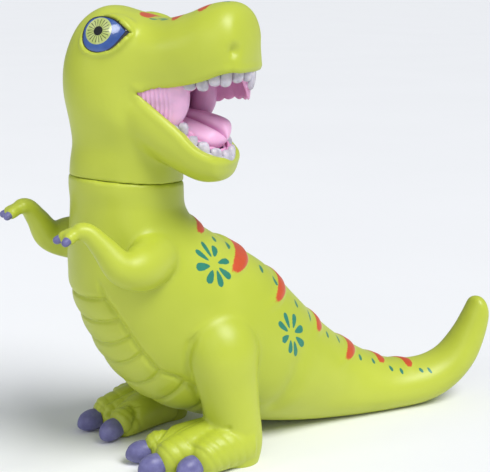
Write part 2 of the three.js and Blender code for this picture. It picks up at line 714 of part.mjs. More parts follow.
place(figure, 'body_shell', bodyShell(), vinyl());
for (const [name, claw] of Object.entries(leftClaws)) {
  place(figure, `toe_claw_left_${name}`, claw, clawPaint());
  place(figure, `toe_claw_right_${name}`, mirrored(claw), clawPaint());
}
leftNails.forEach((nail, i) => {
  place(figure, `finger_claw_left_${i + 1}`, nail, clawPaint());
  place(figure, `finger_claw_right_${i + 1}`, mirrored(nail), clawPaint());
});

const eyeSocket = eyeForm(seatGap);
const gumSlots = gumForm(upperLine, seatGap, -1).add(gumForm(lowerLine, seatGap, 1));
place(head, 'head_shell', headShell([eyeSocket, mirrored(eyeSocket)], gumSlots), vinyl());
place(head, 'eye_right', eyeForm(0), eyePaint());
place(head, 'eye_left', mirrored(eyeForm(0)), eyePaint());
place(head, 'upper_teeth', teethForm(upperLine, upperTeeth, -1), toothPaint());
place(head, 'lower_teeth', teethForm(lowerLine, lowerTeeth, 1), toothPaint());
place(head, 'mouth_lining', liningForm(gumSlots), mouthPaint());
place(head, 'tongue', tongueForm(), tonguePaint());
place(head, 'neck_plug', neckPlug(), plugPlastic());

// The origin is the middle of the whole figure's box, on the ground
const dinosaur = new THREE.Group();
dinosaur.add(figure);
const box = new THREE.Box3().setFromObject(figure, true);
figure.position.set(-(box.min.x + box.max.x) / 2, -(box.min.y + box.max.y) / 2, 0);

export default dinosaur;
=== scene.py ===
"""Toy dinosaur in soft vinyl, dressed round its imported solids.

Lengths are named in millimetres of the model's own frame, in which the neck's axis crosses the seam at NECK.
to_scene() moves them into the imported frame, in metres.
"""
import json
import math

import bmesh
import bpy
import numpy as np
from mathutils import Matrix, Vector
from mathutils.bvhtree import BVHTree
from mathutils.kdtree import KDTree


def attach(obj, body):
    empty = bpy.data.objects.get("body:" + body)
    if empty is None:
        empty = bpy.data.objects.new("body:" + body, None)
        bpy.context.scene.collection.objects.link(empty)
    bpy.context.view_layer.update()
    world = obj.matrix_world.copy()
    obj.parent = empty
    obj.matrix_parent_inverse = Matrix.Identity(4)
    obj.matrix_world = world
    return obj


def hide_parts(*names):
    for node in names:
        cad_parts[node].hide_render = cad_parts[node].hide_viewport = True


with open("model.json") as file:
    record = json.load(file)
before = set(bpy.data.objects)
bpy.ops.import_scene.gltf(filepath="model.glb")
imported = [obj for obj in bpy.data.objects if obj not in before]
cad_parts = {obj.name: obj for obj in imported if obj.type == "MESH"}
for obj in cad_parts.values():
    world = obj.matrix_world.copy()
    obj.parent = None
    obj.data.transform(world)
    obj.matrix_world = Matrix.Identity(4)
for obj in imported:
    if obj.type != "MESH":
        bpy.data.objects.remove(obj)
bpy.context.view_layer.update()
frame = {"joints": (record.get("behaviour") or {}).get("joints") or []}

MM = 0.001
NECK = np.array([-81.5, 0.0, 171.5])
NECK_TILT = math.radians(5)
HEAD_TURN = math.radians(-53)
joint = frame["joints"][0]
ORIGIN = np.array(joint["pos_m"]) / MM - NECK      # the model frame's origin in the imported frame

SQUARE = np.array([(-1, -1), (1, -1), (1, 1), (-1, 1)], float)

# Fineness of the skins, and steps of filling and smoothing
BODY_VOXEL = 0.85
HEAD_VOXEL = 0.7
TRIM_VOXEL = 0.55
BODY_FILL, JOIN_FILL, BODY_SMOOTH = ((12, 120, 4))
HEAD_FILL, HEAD_SMOOTH, CUT_SMOOTH = ((90, 8, 3))
LINING_FILL, LINING_SMOOTH = ((30, 8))

# Neck seam
NECK_RADIUS = 32.5
SEAM_GAP = 0.9
NECK_LIP = 3.0
NECK_BORE = NECK_RADIUS - 8.5
BORE_GAP = 0.55
BORE_REACH = 20
NECK_ROOM = 29.5             # radius of the room inside each rim for the plug's flanges
NECK_ROOM_DEPTH = 16.0
TRIM_SIDE, TRIM_DEPTH = 200, 60
RIM_LEVEL = 140              # above this level the body's rim is kept sharp on its inside
RIM_WALL = 1.5
SWELL_RISE, SWELL_WALL = 0.9, 1.6
SWELL_SPAN = (-16, -5)

# Neck plug
PLUG_WALL = 6
POST_GAP = 0.9
FLANGE_REACH, FLANGE_THICK, FLANGE_ROUND = 4, 2.5, 0.5
FLANGE_GAP_LOW, FLANGE_GAP_HIGH = 0.9, 0.35

# Body stations: back x, z, belly x, z, half-width, sideways lean
BODY = [
    (-49, 177, -114, 177, 32.5, 0), (-48, 157, -115, 151, 33.5, 0), (-40, 143.5, -116.5, 129, 39, 0),
    (-21, 130, -115, 107, 45, 0), (8, 111.5, -106.5, 82, 49, 0), (30.5, 89, -92, 55.5, 50, 0),
    (50.5, 69, -69, 32.5, 47, 0), (70, 53, -30, 15.5, 41, 0), (90, 40, 19, 3.5, 32, -2),
    (106, 32.5, 65, -1, 25, -8), (120, 30.5, 102, -1.2, 20, -15), (133.5, 32.5, 128.5, 1, 16.5, -21),
    (145, 39, 148, 8.5, 14, -25), (155, 51, 165, 22.5, 12, -27), (162, 63, 175, 42, 10, -28),
    (169, 75, 180.5, 64, 8, -28),
]
BODY_SQUARENESS = 2.08
TAIL_CAP = 9

# Limbs of the left side: x, y, z, side half-width, fore half-width
LEG = [
    (-43, -25, 88, 12, 14), (-44, -36.5, 79.5, 19, 21.5), (-42, -42.5, 68, 21.5, 23),
    (-39, -44.5, 49, 18.5, 19), (-36, -45.5, 30, 16.5, 17), (-33.5, -46, 12, 15.5, 16),
    (-33.5, -46, -2, 13, 13),
]
ARM = [
    (-60, -14, 122, 10, 11), (-78, -32.5, 128.5, 13.2, 14), (-96, -48, 128, 12.5, 13.5),
    (-110, -51.5, 130.5, 9.4, 9.8), (-119.5, -48, 142.5, 6.6, 6.8), (-127, -44.5, 151, 5.8, 5.2),
    (-135, -42.5, 151.5, 5.6, 4.4),
]
TOES = {
    "inner": ((-40, -40, 13, 15), (-64, -29.5, 11, 11.4), (-83, -22, 8.8, 8.9)),
    "middle": ((-38, -44, 15, 16.5), (-65, -44, 12.5, 12.8), (-86.5, -44, 9.4, 9.6)),
    "outer": ((-33, -48, 14, 15.5), (-53, -53.5, 12.5, 12.8), (-69.5, -57.5, 9.6, 9.7)),
}
TOE_NARROWING, TOE_CAP = 0.96, 0.75
FOOT_TOP = 30
CLAW_LENGTH = 16
CLAW_BACK = 4                # from the toe's end back to the claw's root
CLAW_HALF_WIDTH = 6.3
CLAW_HALF_HEIGHT = 6.8
CLAW_LEVELS = (CLAW_HALF_HEIGHT + 1.2, CLAW_HALF_HEIGHT + 0.4, CLAW_HALF_HEIGHT * 0.68)
CLAW_SWELL = (0.94, 1, 0.62)
CLAW_FLOOR = 0.4
FINGER_ROOT = (-132.5, -42.5, 151.5)
FINGER_TIPS = ((-140.5, -47.4, 147.5), (-141.5, -38.7, 147.5))
FINGER_RADIUS = 3.8
NAIL_RADIUS = 2.7
NAIL_LENGTH = 6.5
NAIL_SEAT = 0.55             # share of the nail that lies behind the fingertip
TIP_CAP = 0.8                # rounded end of a finger or nail, as a share of its radius

# Head, in its own frame: u forward from the neck's axis, v sideways, w up from the seam
HEAD = [
    (-32.5, -8, 32.5, -8, 32.5), (-31.3, 14, 32.5, 10, 31.7), (-30.5, 32, 32.5, 20, 32),
    (-33.3, 54, 32, 28, 35), (-31.3, 73, 31, 34, 35.2), (-22.5, 91, 33, 39, 33.5), (-8, 99.8, 39, 43, 31.5),
    (8, 97, 46, 45, 30), (26, 93, 54, 46.5, 29.5), (43, 96, 61, 48.5, 30), (58, 101.5, 68, 51.5, 28.5),
    (71, 102, 75, 54.5, 24.5), (81, 94, 82, 59, 17.5),
]
NOSE_CAP = 5
JAW = [
    (4, 62, 12, 16, 30), (20, 60, 27, 13.5, 32), (36, 54, 40, 6.5, 31), (49, 44, 52, 1.5, 28),
    (59.5, 33, 61.3, 1.8, 22.5), (67.2, 24, 67.7, 5, 15),
]
JAW_CAP = 4.5
SNOUT_SQUARENESS = 2.35
JAW_SQUARENESS = 2.3
LID_RADII = (17, 12.8, 9.6)        # the rounded swelling that the eye sits in
LID_SEAT = 5
NECK_DENT = (1.1, 8)               # depth and half-height of the dent round the neck
NECK_DENT_AT, NECK_DENT_END = 21, (6, 18)
NOSTRILS = [                       # place, radii, depth
    ((77.4, -19.6, 76.5), (3.0, 4, 3.6), 3.2), ((75.6, -21.0, 71.0), (2.6, 4, 5.0), 1.1),
]

# Mouth
UPPER_LIP = [
    (20.5, 53.2), (35, 55), (48, 57.2), (58, 59.3), (64, 61.3), (70, 63.6), (76, 64.6), (82, 63.8),
    (92, 62.5),
]
LOWER_LIP = [(20.5, 53.2), (33, 44), (46.5, 33), (55, 23.5), (63, 18), (73, 13), (92, 6)]
GAPE_START, GAPE_END = 20.0, 91
LIP_ROLLS = ((2.4, 0.5, 2.0), (2.6, 0.7, 2.2))     # upper and lower: distance from the lip, rise, half-width
PALATE = [  # u, half-width, low, high
    (0, 14, 42, 52), (12, 23, 36, 60), (26, 26.5, 40, 63), (38, 25.5, 40, 65), (47, 22.8, 36, 67),
    (52, 17, 46, 67.5), (60, 16, 48, 69), (71, 10, 54, 71),
]
FLOOR = [
    (0, 14, 40, 50), (12, 23, 33, 58), (25, 26.5, 28, 58), (34, 25.5, 24, 56), (43, 24, 19, 56),
    (48, 22.3, 17, 56), (53, 15, 14.5, 38), (60, 9, 11.5, 30),
]
POCKET_CAP = 6
POCKET_SQUARENESS = 2.8
POCKET_GAP = 0.35
LINING_WALL = 2.2
CHEEK_FRONT, CHEEK_SLANT = 49.5, 11
THROAT_FRONT, THROAT_HALF = 26, 19
CHEEK_ROLL = [  # u, v, w, side half-width, fore half-width
    (34.5, -21.3, 28, 4.2, 5), (38.8, -20.3, 38, 4.6, 6.6), (42.6, -19.3, 47, 4.8, 7.4),
    (43, -19, 60, 4.8, 7),
]
CORNER_FILL = (2.6, 8)       # how far the lining moves out at the mouth's corner, and over what length
CORNER_AT = 18
FOLD_HEIGHT, FOLD_LENGTH, FOLD_BEND, FOLD_LEVEL = 0.36, 2.5, 0.004, 48
FOLD_SPAN = (18, 22, 38, 43)
TONGUE = [  # u, v, w, half-width, rise, roll in degrees
    (12, 0, 38, 13, 4, 0), (28, 0, 37, 14.5, 5, 6), (43, 0.4, 33.2, 15.6, 6, 14),
    (55, 1.4, 28.8, 14.8, 6.5, 22), (63.5, 2, 25.2, 11.5, 5.5, 25),
]
TONGUE_DROP = 9
TONGUE_CAP = 7
TONGUE_SQUARENESS = 2.3
TONGUE_GROOVE = (0.62, 0.2)  # depth as a share of the rise, half-width as a share of the width

# Teeth
TEETH = 12
TOOTH_THICK = 5
UPPER_HEIGHT = 8
LOWER_HEIGHT = 6.6
UPPER_ARCH = (21, 48, 78)    # half-width, back and front of the row
LOWER_ARCH = (20.6, 38, 65.5)
ARCH_BEND, ARCH_SPLAY, ARCH_STEPS = 0.95, 0.06, 12
FAR_HANG = 4.8               # how much lower the row on the +v side hangs
GUM_DEPTH = 4
GUM_LIFT = 0.4
BAND_THICK = 2.2
BAND_HEIGHT = 5
BAND_SET_IN = 0.3
SCALLOP = 1.4
TOOTH_LEAN = 0.13
GUM_INNER = 9.0              # value of "inner" where all is gum
ROW_SEEDS = {-1: 7, 1: 11}
WAY_STEP = 0.01

# Eye: place in the head's frame, size and turn
EYE_AT = (4.4, -27.6, 84.3)
EYE_HALF_LENGTH = 15.2
EYE_HALF_HEIGHT = 10.3
EYE_DOME = 4.4
EYE_TOE = math.radians(7)
EYE_ROLL = math.radians(-8)
EYE_LEAN = math.radians(14)
EYE_TURN = np.array(Matrix.Rotation(-EYE_TOE, 3, "Z") @ Matrix.Rotation(EYE_ROLL, 3, "Y")
                    @ Matrix.Rotation(math.pi / 2 - EYE_LEAN, 3, "X"))
ALMOND = [  # knots of the outline's four curves, as shares of the half-length and the half-height
    (1, -0.05), (0.6, 0.75), (0.1, 1), (-0.35, 1), (-0.8, 1), (-1, 0.45), (-1, -0.1), (-1, -0.7), (-0.6, -1),
    (-0.1, -1), (0.4, -1), (0.75, -0.45), (1, -0.05),
]
DOME_SPREAD = (1.32, 1.42)
EYE_BACK = -6.0
FIRST_LEVEL = 0.03
EDGE_SCALE = 10
SOCKET_GAP, SOCKET_LEVELS = 0.2, (-7.0, 14.0)
RIM_AT, RIM_AHEAD_AT = 1.4, 0.4    # the eyelid's rim: distance from the outline, then rise and half-width
EYE_RIM, EYE_RIM_AHEAD = (0.9, 1.3), (1.3, 1.8)

# Belly plates: station and half-width of their border; station of each groove and its rise towards the border
BELLY_EDGE = [(2.5, 21), (3.13, 23.4), (3.43, 26.3), (3.73, 28), (4.03, 29.2), (4.33, 30.1), (4.61, 31.6),
              (4.92, 32.5), (5.08, 34.5), (5.21, 37.1), (5.7, 38.5), (7, 38.5)]
PLATE_GROOVES = [(3.14, 0.03), (3.74, 0.09), (4.33, 0.24), (4.83, 0.35), (5.42, 0.45),
                 (6.0, 0.6), (6.55, 0.6)]
PLATE_SPAN = (2.5, 3.1, 6.3, 6.9)
STATION_LENGTH = 30.0        # mm along the belly between stations
PLATE_RISE = 0.9
GROOVE_CUT, GROOVE_DISH = (1.7, 1.25), (0.9, 4.5)      # depth and half-width
BORDER_CUT, BORDER_DISH = (1.7, 1.4), (0.5, 4)

# Moulded folds of the left foot and leg: their line, then depth and half-width
TOE_FOLD = [
    (-77, -51, 13.5), (-71.3, -49.6, 19.0), (-66, -48.5, 21), (-58, -49.5, 23), (-50, -53, 25),
    (-45.5, -58, 26.5),
]
TOE_FOLD_CUT = (1.7, 1.5)
INNER_FOLD = [(-81, -33, 12.5), (-73, -35, 17.5), (-62, -36.5, 21.5), (-52, -38, 25.5)]
INNER_FOLD_CUT = (1.3, 1.5)
THIGH_RIDGE = [
    (-66.5, -46.4, 79.5), (-61.6, -47.7, 86.1), (-57, -48.4, 89.3), (-50, -48.7, 92.3), (-44, -48.6, 94.3),
]
THIGH_RISE, THIGH_SPAN = (0.75, 1.1), (-67, -62, -49, -44.5)
HAUNCH = [
    (18.4, -39.8, 68.7), (16.5, -42.2, 62.5), (14.8, -43.7, 55.4), (11.4, -44.1, 45.1), (6.3, -41.8, 34.3),
    (0.2, -37.6, 26.2),
]
HAUNCH_CUT, HAUNCH_FADE = (2.1, 6.5), (52, 69)
SHOULDER_AT = (-91.0, -33.0, 149.0)
SHOULDER_RISE, SHOULDER_REACH = 1.6, 17
THIGH_FRONT, THIGH_HEIGHTS = (45, 52), (22, 30, 78, 88)
THIGH_CUT, THIGH_KEEP = (1.5, 2.4), 3.5
SOFT_JOINS = [
    ((-78, -32, 143), 22), ((-62, -36, 134), 20), ((-56, -44, 94), 20), ((-36, -46, 94), 22),
    ((-20, -48, 80), 22),
]
WRINKLES = {"inner": (8, 13), "middle": (7, 14, 22), "outer": (7, 12.5, 18, 24, 30, 36)}
WRINKLE_LEAN, WRINKLE_LEVEL = 0.35, 9
WRINKLE_DEPTH, WRINKLE_FADE, WRINKLE_WIDTH = 0.6, 0.06, 1.1
TOE_WIDTHS_AT = [0, 22, 48]

# Paint: orange marks on low bumps, each with its station on the back line and at its ends, half-length and reach
UNPAINTED = -9.0             # signed distance where no mark is near
ORANGE = [
    (2.02, 2.12, 4.2, 31), (3.25, 3.45, 6.8, 48), (4.36, 4.53, 4.7, 45), (5.82, 5.9, 4.0, 33),
    (7.3, 7.2, 4.4, 33), (8.6, 8.5, 3.6, 16), (9.88, 9.75, 3.0, 12.5),
]
BUMP_RISE = 0.3              # height of a bump as a share of its half-length
DROPS = [  # station and reach over the side of both ends of a drop, and its half-width
    (2.59, 23, 2.70, 28, 1.5), (3.0, 17, 3.08, 27, 1.1), (3.82, 25, 3.92, 32, 1.4),
    (4.18, 26, 4.33, 33, 1.1), (4.94, 26.5, 5.07, 31.5, 1.35), (5.44, 20, 5.58, 30, 1.0),
    (6.23, 23.5, 6.33, 28.5, 1.3), (6.7, 15, 6.8, 23, 1.0), (7.63, 19.5, 7.71, 24, 1.4),
    (8.17, 15, 8.25, 19.5, 1.2), (8.9, 15, 9.0, 19, 1.3), (9.35, 14.5, 9.43, 19.5, 1.1),
    (10.2, 13, 10.3, 16.5, 1.2), (10.57, 13, 10.67, 17.5, 1.0),
]
FLOWERS = [  # centre, then each petal's start, end and width in the plane that touches the skin there
    ((-45.8, -41.0, 122.6), (
        (0.6, 5.0, -1.1, 14.6, 3.0), (-2.8, 3.2, -9.1, 10.4, 2.9), (-3.7, -0.3, -12.6, 0.8, 4.1),
        (-2.5, -3.7, -7.2, -9.5, 4.0), (0.9, -4.6, 0.9, -13.5, 3.5), (3.5, -3.2, 8.6, -10.2, 3.6),
        (4.6, 0.2, 13.4, 0.2, 3.3), (3.5, 4.8, 8.3, 10.6, 4.0))),
    ((8.1, -43.0, 72.6), (
        (-1.4, 4.3, -2.4, 13.4, 3.3), (2.7, 3.4, 8.0, 10.3, 3.6), (-3.7, 2.5, -10.2, 9.2, 3.2),
        (-3.8, -0.6, -9.1, -2.4, 3.8), (-2.3, -4.1, -3.3, -10.9, 3.2), (1.0, -5.5, 2.2, -14.2, 3.2),
        (3.6, -3.3, 10.0, -9.5, 3.7), (3.7, 0.4, 12.3, 0.9, 4.0))),
]
FLOWER_REACH = 20
PETAL_START, PETAL_EXTRA, PETAL_WIDTH = 0.7, 1.2, 0.82
CROWN_MARKS = [(16, 4.4, 9.5), (37.5, 3.6, 16), (54, 4.0, 17)]   # u, half-length, reach over the side
CROWN_DROPS = [(24, 9.5), (28.5, 7.5), (31.5, 10.5), (66, 4), (46, 3)]      # u, v
CROWN_DROP_RADII = (2.6, 1.4)
CROWN_SLANT, CROWN_LEVEL = 2.5, 82
LIP_PAINT_DEPTH, LIP_PAINT_MORE, LIP_PAINT_SPAN = 2.0, 1.6, (38, 44)


# Curves and forms
def spline(points, t):
    """Points of a smooth curve through the given points, at shares t of its spans."""
    p = np.asarray(points, float)
    padded = np.vstack([2 * p[0] - p[1], p, 2 * p[-1] - p[-2]])
    x = np.clip(t, 0, 1) * (len(p) - 1)
    i = np.minimum(x.astype(int), len(p) - 2)
    f = (x - i)[:, None]
    a, b, c, d = padded[i], padded[i + 1], padded[i + 2], padded[i + 3]
    return b + 0.5 * f * (c - a + f * (2 * a - 5 * b + 4 * c - d + f * (3 * (b - c) + d - a)))


def unit(vectors):
    return vectors / np.linalg.norm(vectors, axis=-1, keepdims=True)


def tangents(path, t, step=1e-4):
    return unit(spline(path, np.clip(t + step, 0, 1)) - spline(path, np.clip(t - step, 0, 1)))


def walked_along(path):
    """Distance from a path's start to each of its points."""
    return np.concatenate([[0], np.cumsum(np.linalg.norm(np.diff(path, axis=0), axis=1))])


def ring_steps(path, rings, end_cap=0.0, start_cap=0.0, cap_rings=9):
    """Shares along a path and scales of the rings: even steps, then rounded ends of the given lengths."""
    dense = np.linspace(0, 1, 1200)
    walked = walked_along(spline(path, dense))
    length = walked[-1]
    angles = (np.pi / 2) * np.arange(1, cap_rings + 1) / (cap_rings + 0.35)
    distance = start_cap + (length - start_cap - end_cap) * np.linspace(0, 1, rings + 1)
    scale = np.ones(rings + 1)
    if start_cap:
        distance = np.concatenate([start_cap * (1 - np.sin(angles[::-1])), distance])
        scale = np.concatenate([np.cos(angles[::-1]), scale])
    if end_cap:
        distance = np.concatenate([distance, length - end_cap * (1 - np.sin(angles))])
        scale = np.concatenate([scale, np.cos(angles)])
    return np.interp(distance, walked, dense), scale


def section(sides, squareness):
    """Unit points round a section: squareness 2 is an ellipse, more is boxier."""
    angle = 2 * np.pi * np.arange(sides) / sides
    c, s = np.cos(angle), np.sin(angle)
    power = 2 / squareness
    return np.sign(c) * np.abs(c) ** power, np.sign(s) * np.abs(s) ** power


def skin(rings, loop=False):
    """Points and faces of a closed surface over rings; a loop joins the last ring to the first."""
    count, sides, _ = rings.shape
    r, s = np.meshgrid(np.arange(count if loop else count - 1), np.arange(sides), indexing="ij")
    here, there, after = r * sides, (r + 1) % count * sides, (s + 1) % sides
    faces = np.stack([here + s, here + after, there + after, there + s], axis=2).reshape(-1, 4).tolist()
    points = rings.reshape(-1, 3)
    if loop:
        return points, faces
    last = (count - 1) * sides
    for k in range(sides):
        after = (k + 1) % sides
        faces.append([count * sides, after, k])
        faces.append([count * sides + 1, last + k, last + after])
    return np.vstack([points, rings[0].mean(axis=0), rings[-1].mean(axis=0)]), faces


def profile_lines(stations):
    """Upper line with the half-width as its y, lower line with the lean as its y, and the line midway."""
    st = np.asarray(stations, float)
    lean = st[:, 5] if st.shape[1] > 5 else np.zeros(len(st))
    upper = np.stack([st[:, 0], st[:, 4], st[:, 1]], axis=1)
    lower = np.stack([st[:, 2], lean, st[:, 3]], axis=1)
    middle = np.stack([(st[:, 0] + st[:, 2]) / 2, 0 * lean, (st[:, 1] + st[:, 3]) / 2], axis=1)
    return upper, lower, middle


def sections_at(upper, lower, t):
    """Centre, half-width, half-height and upward direction of the section at each share."""
    a, b = spline(upper, t), spline(lower, t)
    half = a[:, 1].copy()
    a[:, 1] = b[:, 1]
    reach = (a - b) / 2
    return (a + b) / 2, half, np.linalg.norm(reach, axis=1), unit(reach)


def profile_rings(stations, sides, rings, squareness, end_cap=0.0, start_cap=0.0):
    """Rings between an upper and a lower line in the X-Z plane, each standing across the two."""
    upper, lower, middle = profile_lines(stations)
    t, scale = ring_steps(middle, rings, end_cap, start_cap)
    centre, half, tall, up = sections_at(upper, lower, t)
    c, s = section(sides, squareness)
    out = centre[:, None, :] + up[:, None, :] * ((tall * scale)[:, None] * c)[:, :, None]
    out[:, :, 1] += (half * scale)[:, None] * s
    return out, t


def limb_rings(stations, sides, rings, end_cap=0.0, start_cap=0.0):
    """Oval rings square to a path through stations of x, y, z, side half-width and fore half-width."""
    st = np.asarray(stations, float)
    path = st[:, :3]
    t, scale = ring_steps(path, rings, end_cap, start_cap)
    centre = spline(path, t)
    size = spline(st[:, 3:5], t) * scale[:, None]
    way = tangents(path, t)
    fore = unit(np.cross([0.0, 1.0, 0.0], way))
    side = np.cross(way, fore)
    c, s = section(sides, 2)
    return (centre[:, None, :] + side[:, None, :] * (size[:, :1] * c)[:, :, None]
            + fore[:, None, :] * (size[:, 1:] * s)[:, :, None])


def turned(profile, sides=120):
    """Rings about +Z from (radius, height) pairs."""
    turn = 2 * np.pi * np.arange(sides) / sides
    c, s = np.cos(turn), np.sin(turn)
    return np.stack([np.column_stack([r * c, r * s, np.full(sides, z)]) for r, z in profile])


def ellipsoid(radii, at, sides=40):
    """Rings of an ellipsoid about its own vertical."""
    angle = np.pi * (np.arange(1, sides // 2) / (sides // 2))
    return turned(zip(np.sin(angle), np.cos(angle)), sides) * np.asarray(radii, float) + np.asarray(at, float)


def prism(outline, levels):
    """Rings of a flat outline at each level."""
    return np.stack([np.column_stack([outline, np.full(len(outline), level)]) for level in levels])


def mirrored(rings):
    return rings * np.array([1.0, -1.0, 1.0])


def on_left(points):
    """Points with those of the right side mirrored to the left."""
    left = points.copy()
    left[:, 1] = -np.abs(left[:, 1])
    return left


def tilted(points, turn=0.0):
    """Turns points of the seam's own frame to the tilted neck, then by turn about the vertical."""
    c, s = math.cos(NECK_TILT), math.sin(NECK_TILT)
    x, y, z = np.moveaxis(points, -1, 0)
    x, z = c * x + s * z, -s * x + c * z
    ct, st = math.cos(turn), math.sin(turn)
    return np.stack([ct * x - st * y, st * x + ct * y, z], axis=-1)


def head_to_model(points):
    """Moves points of the head's frame (u, v, w) into the model frame."""
    c, s = math.cos(HEAD_TURN), math.sin(HEAD_TURN)
    u, v, w = np.moveaxis(np.asarray(points, float), -1, 0)
    return np.stack([c * u - s * v, s * u + c * v, w], axis=-1) + NECK


def to_scene(points):
    return (np.asarray(points, float) + ORIGIN) * MM


# Meshes
def link(obj):
    bpy.context.scene.collection.objects.link(obj)
    return obj


def mesh_object(name, points, faces):
    mesh = bpy.data.meshes.new(name)
    mesh.from_pydata([tuple(p) for p in points], [], [tuple(f) for f in faces])
    mesh.validate()
    return link(bpy.data.objects.new(name, mesh))


def arrays_of(obj):
    """Points and faces of an object with its modifiers applied; the object is removed."""
    graph = bpy.context.evaluated_depsgraph_get()
    mesh = obj.evaluated_get(graph).to_mesh()
    points = np.empty(len(mesh.vertices) * 3)
    mesh.vertices.foreach_get("co", points)
    faces = [tuple(p.vertices) for p in mesh.polygons]
    bpy.data.objects.remove(obj)
    return points.reshape(-1, 3), faces


def surface(form):
    """Points and faces of a form, which is either rings or already both."""
    return skin(form) if isinstance(form, np.ndarray) else form


def together(forms):
    points, faces, start = [], [], 0
    for p, f in map(surface, forms):
        points.append(p)
        faces.extend([tuple(i + start for i in face) for face in f])
        start += len(p)
    return np.vstack(points), faces


def outward(obj):
    bm = bmesh.new()
    bm.from_mesh(obj.data)
    bmesh.ops.recalc_face_normals(bm, faces=bm.faces)
    bm.to_mesh(obj.data)
    bm.free()


def fused(forms, voxel):
    """One skin round all the forms."""
    obj = mesh_object("fused", *together(forms))
    outward(obj)
    modifier = obj.modifiers.new("remesh", "REMESH")
    modifier.mode = "VOXEL"
    modifier.voxel_size = voxel
    modifier.use_smooth_shade = True
    return arrays_of(obj)


def cut(base, cutters):
    """The base form less each cutter in turn."""
    obj = mesh_object("base", *base)
    tools = [mesh_object("cutter", *surface(form)) for form in cutters]
    for tool in tools:
        outward(tool)
        modifier = obj.modifiers.new("cut", "BOOLEAN")
        modifier.operation = "DIFFERENCE"
        modifier.solver = "MANIFOLD"
        modifier.object = tool
    result = arrays_of(obj)
    for tool in tools:
        bpy.data.objects.remove(tool)
    return result


def dressed(obj, values):
    """Smooths an object's shading and keeps values at its points for its material."""
    mesh = obj.data
    mesh.polygons.foreach_set("use_smooth", np.ones(len(mesh.polygons), bool))
    for key, table in values.items():
        kind, field = ("FLOAT", "value") if table.ndim == 1 else ("FLOAT_VECTOR", "vector")
        mesh.attributes.new(key, kind, "POINT").data.foreach_set(field, table.astype(np.float32).ravel())
    mesh.update()
    return obj


def finish_object(name, points, faces, values=None):
    obj = mesh_object(name, to_scene(points), faces)
    outward(obj)
    return dressed(obj, values or {})


class Skin:
    """Points and four-sided faces that can be smoothed and pushed along their normals."""

    def __init__(self, points, faces):
        self.points = np.array(points, float)
        self.faces = np.array([f for f in faces if len(f) == 4], int)
        ends = np.concatenate([self.faces[:, [i, (i + 1) % 4]] for i in range(4)])
        ends.sort(axis=1)
        self.edges = np.unique(ends, axis=0)
        self.degree = np.bincount(self.edges.ravel(), minlength=len(self.points)).astype(float)
        self.degree[self.degree == 0] = 1

    def neighbour_mean(self, values):
        total = np.empty_like(values)
        a, b = self.edges[:, 0], self.edges[:, 1]
        for k in range(values.shape[1]):
            total[:, k] = (np.bincount(a, weights=values[b, k], minlength=len(values))
                           + np.bincount(b, weights=values[a, k], minlength=len(values)))
        return total / self.degree[:, None]

    def normals(self):
        p = self.points[self.faces]
        face = np.cross(p[:, 2] - p[:, 0], p[:, 3] - p[:, 1])
        out = np.zeros_like(self.points)
        for k in range(3):
            for corner in range(4):
                out[:, k] += np.bincount(self.faces[:, corner], weights=face[:, k], minlength=len(out))
        length = np.linalg.norm(out, axis=1)
        length[length == 0] = 1
        return out / length[:, None]

    def smooth(self, steps, amount=0.5, weight=None):
        share = amount if weight is None else amount * weight[:, None]
        for _ in range(steps):
            self.points += share * (self.neighbour_mean(self.points) - self.points)

    def fill(self, steps, amount=0.6, weight=None):
        """Fills hollow creases and leaves crests as they are."""
        share = amount if weight is None else amount * weight
        for step in range(steps):
            if step % 4 == 0:
                normal = self.normals()
            move = ((self.neighbour_mean(self.points) - self.points) * normal).sum(axis=1)
            self.points += (share * np.maximum(move, 0))[:, None] * normal

    def push(self, amount):
        self.points += amount[:, None] * self.normals()

    def build(self, name, values):
        return dressed(mesh_object(name, to_scene(self.points), self.faces), values)


# Fields
def near(points, at, radius):
    """1 at a place, falling smoothly to 0 at the radius."""
    d = np.linalg.norm(points - np.asarray(at, float), axis=1) / radius
    return np.clip(1 - d * d, 0, 1) ** 2


def bump(x, width):
    return np.exp(-((x / width) ** 2))


def relief(x, form):
    """A ridge of the given height and half-width where x is 0."""
    height, width = form
    return height * bump(x, width)


def step01(x, low, high):
    s = np.clip((x - low) / (high - low), 0, 1)
    return s * s * (3 - 2 * s)


def between(x, low, full, fade, high):
    """0 below low, 1 from full to fade and 0 above high."""
    return step01(x, low, full) * (1 - step01(x, fade, high))


def line_distance(points, line):
    """Distance from each point to a line of straight runs."""
    line = np.asarray(line, float)
    best = np.full(len(points), 1e9)
    for a, b in zip(line[:-1], line[1:]):
        run = b - a
        share = np.clip(((points - a) @ run) / (run @ run), 0, 1)
        best = np.minimum(best, np.linalg.norm(points - a - share[:, None] * run, axis=1))
    return best


def nearest(points, targets):
    """Index of the nearest target for each point."""
    tree = KDTree(len(targets))
    for i, p in enumerate(targets):
        tree.insert(p, i)
    tree.balance()
    return np.array([tree.find(p)[1] for p in points])


def depth_below(points, shell):
    """Distance from each point to a closed surface of points and faces."""
    tree = BVHTree.FromPolygons([tuple(p) for p in shell[0]], shell[1])
    return np.array([tree.find_nearest(p)[3] for p in points])


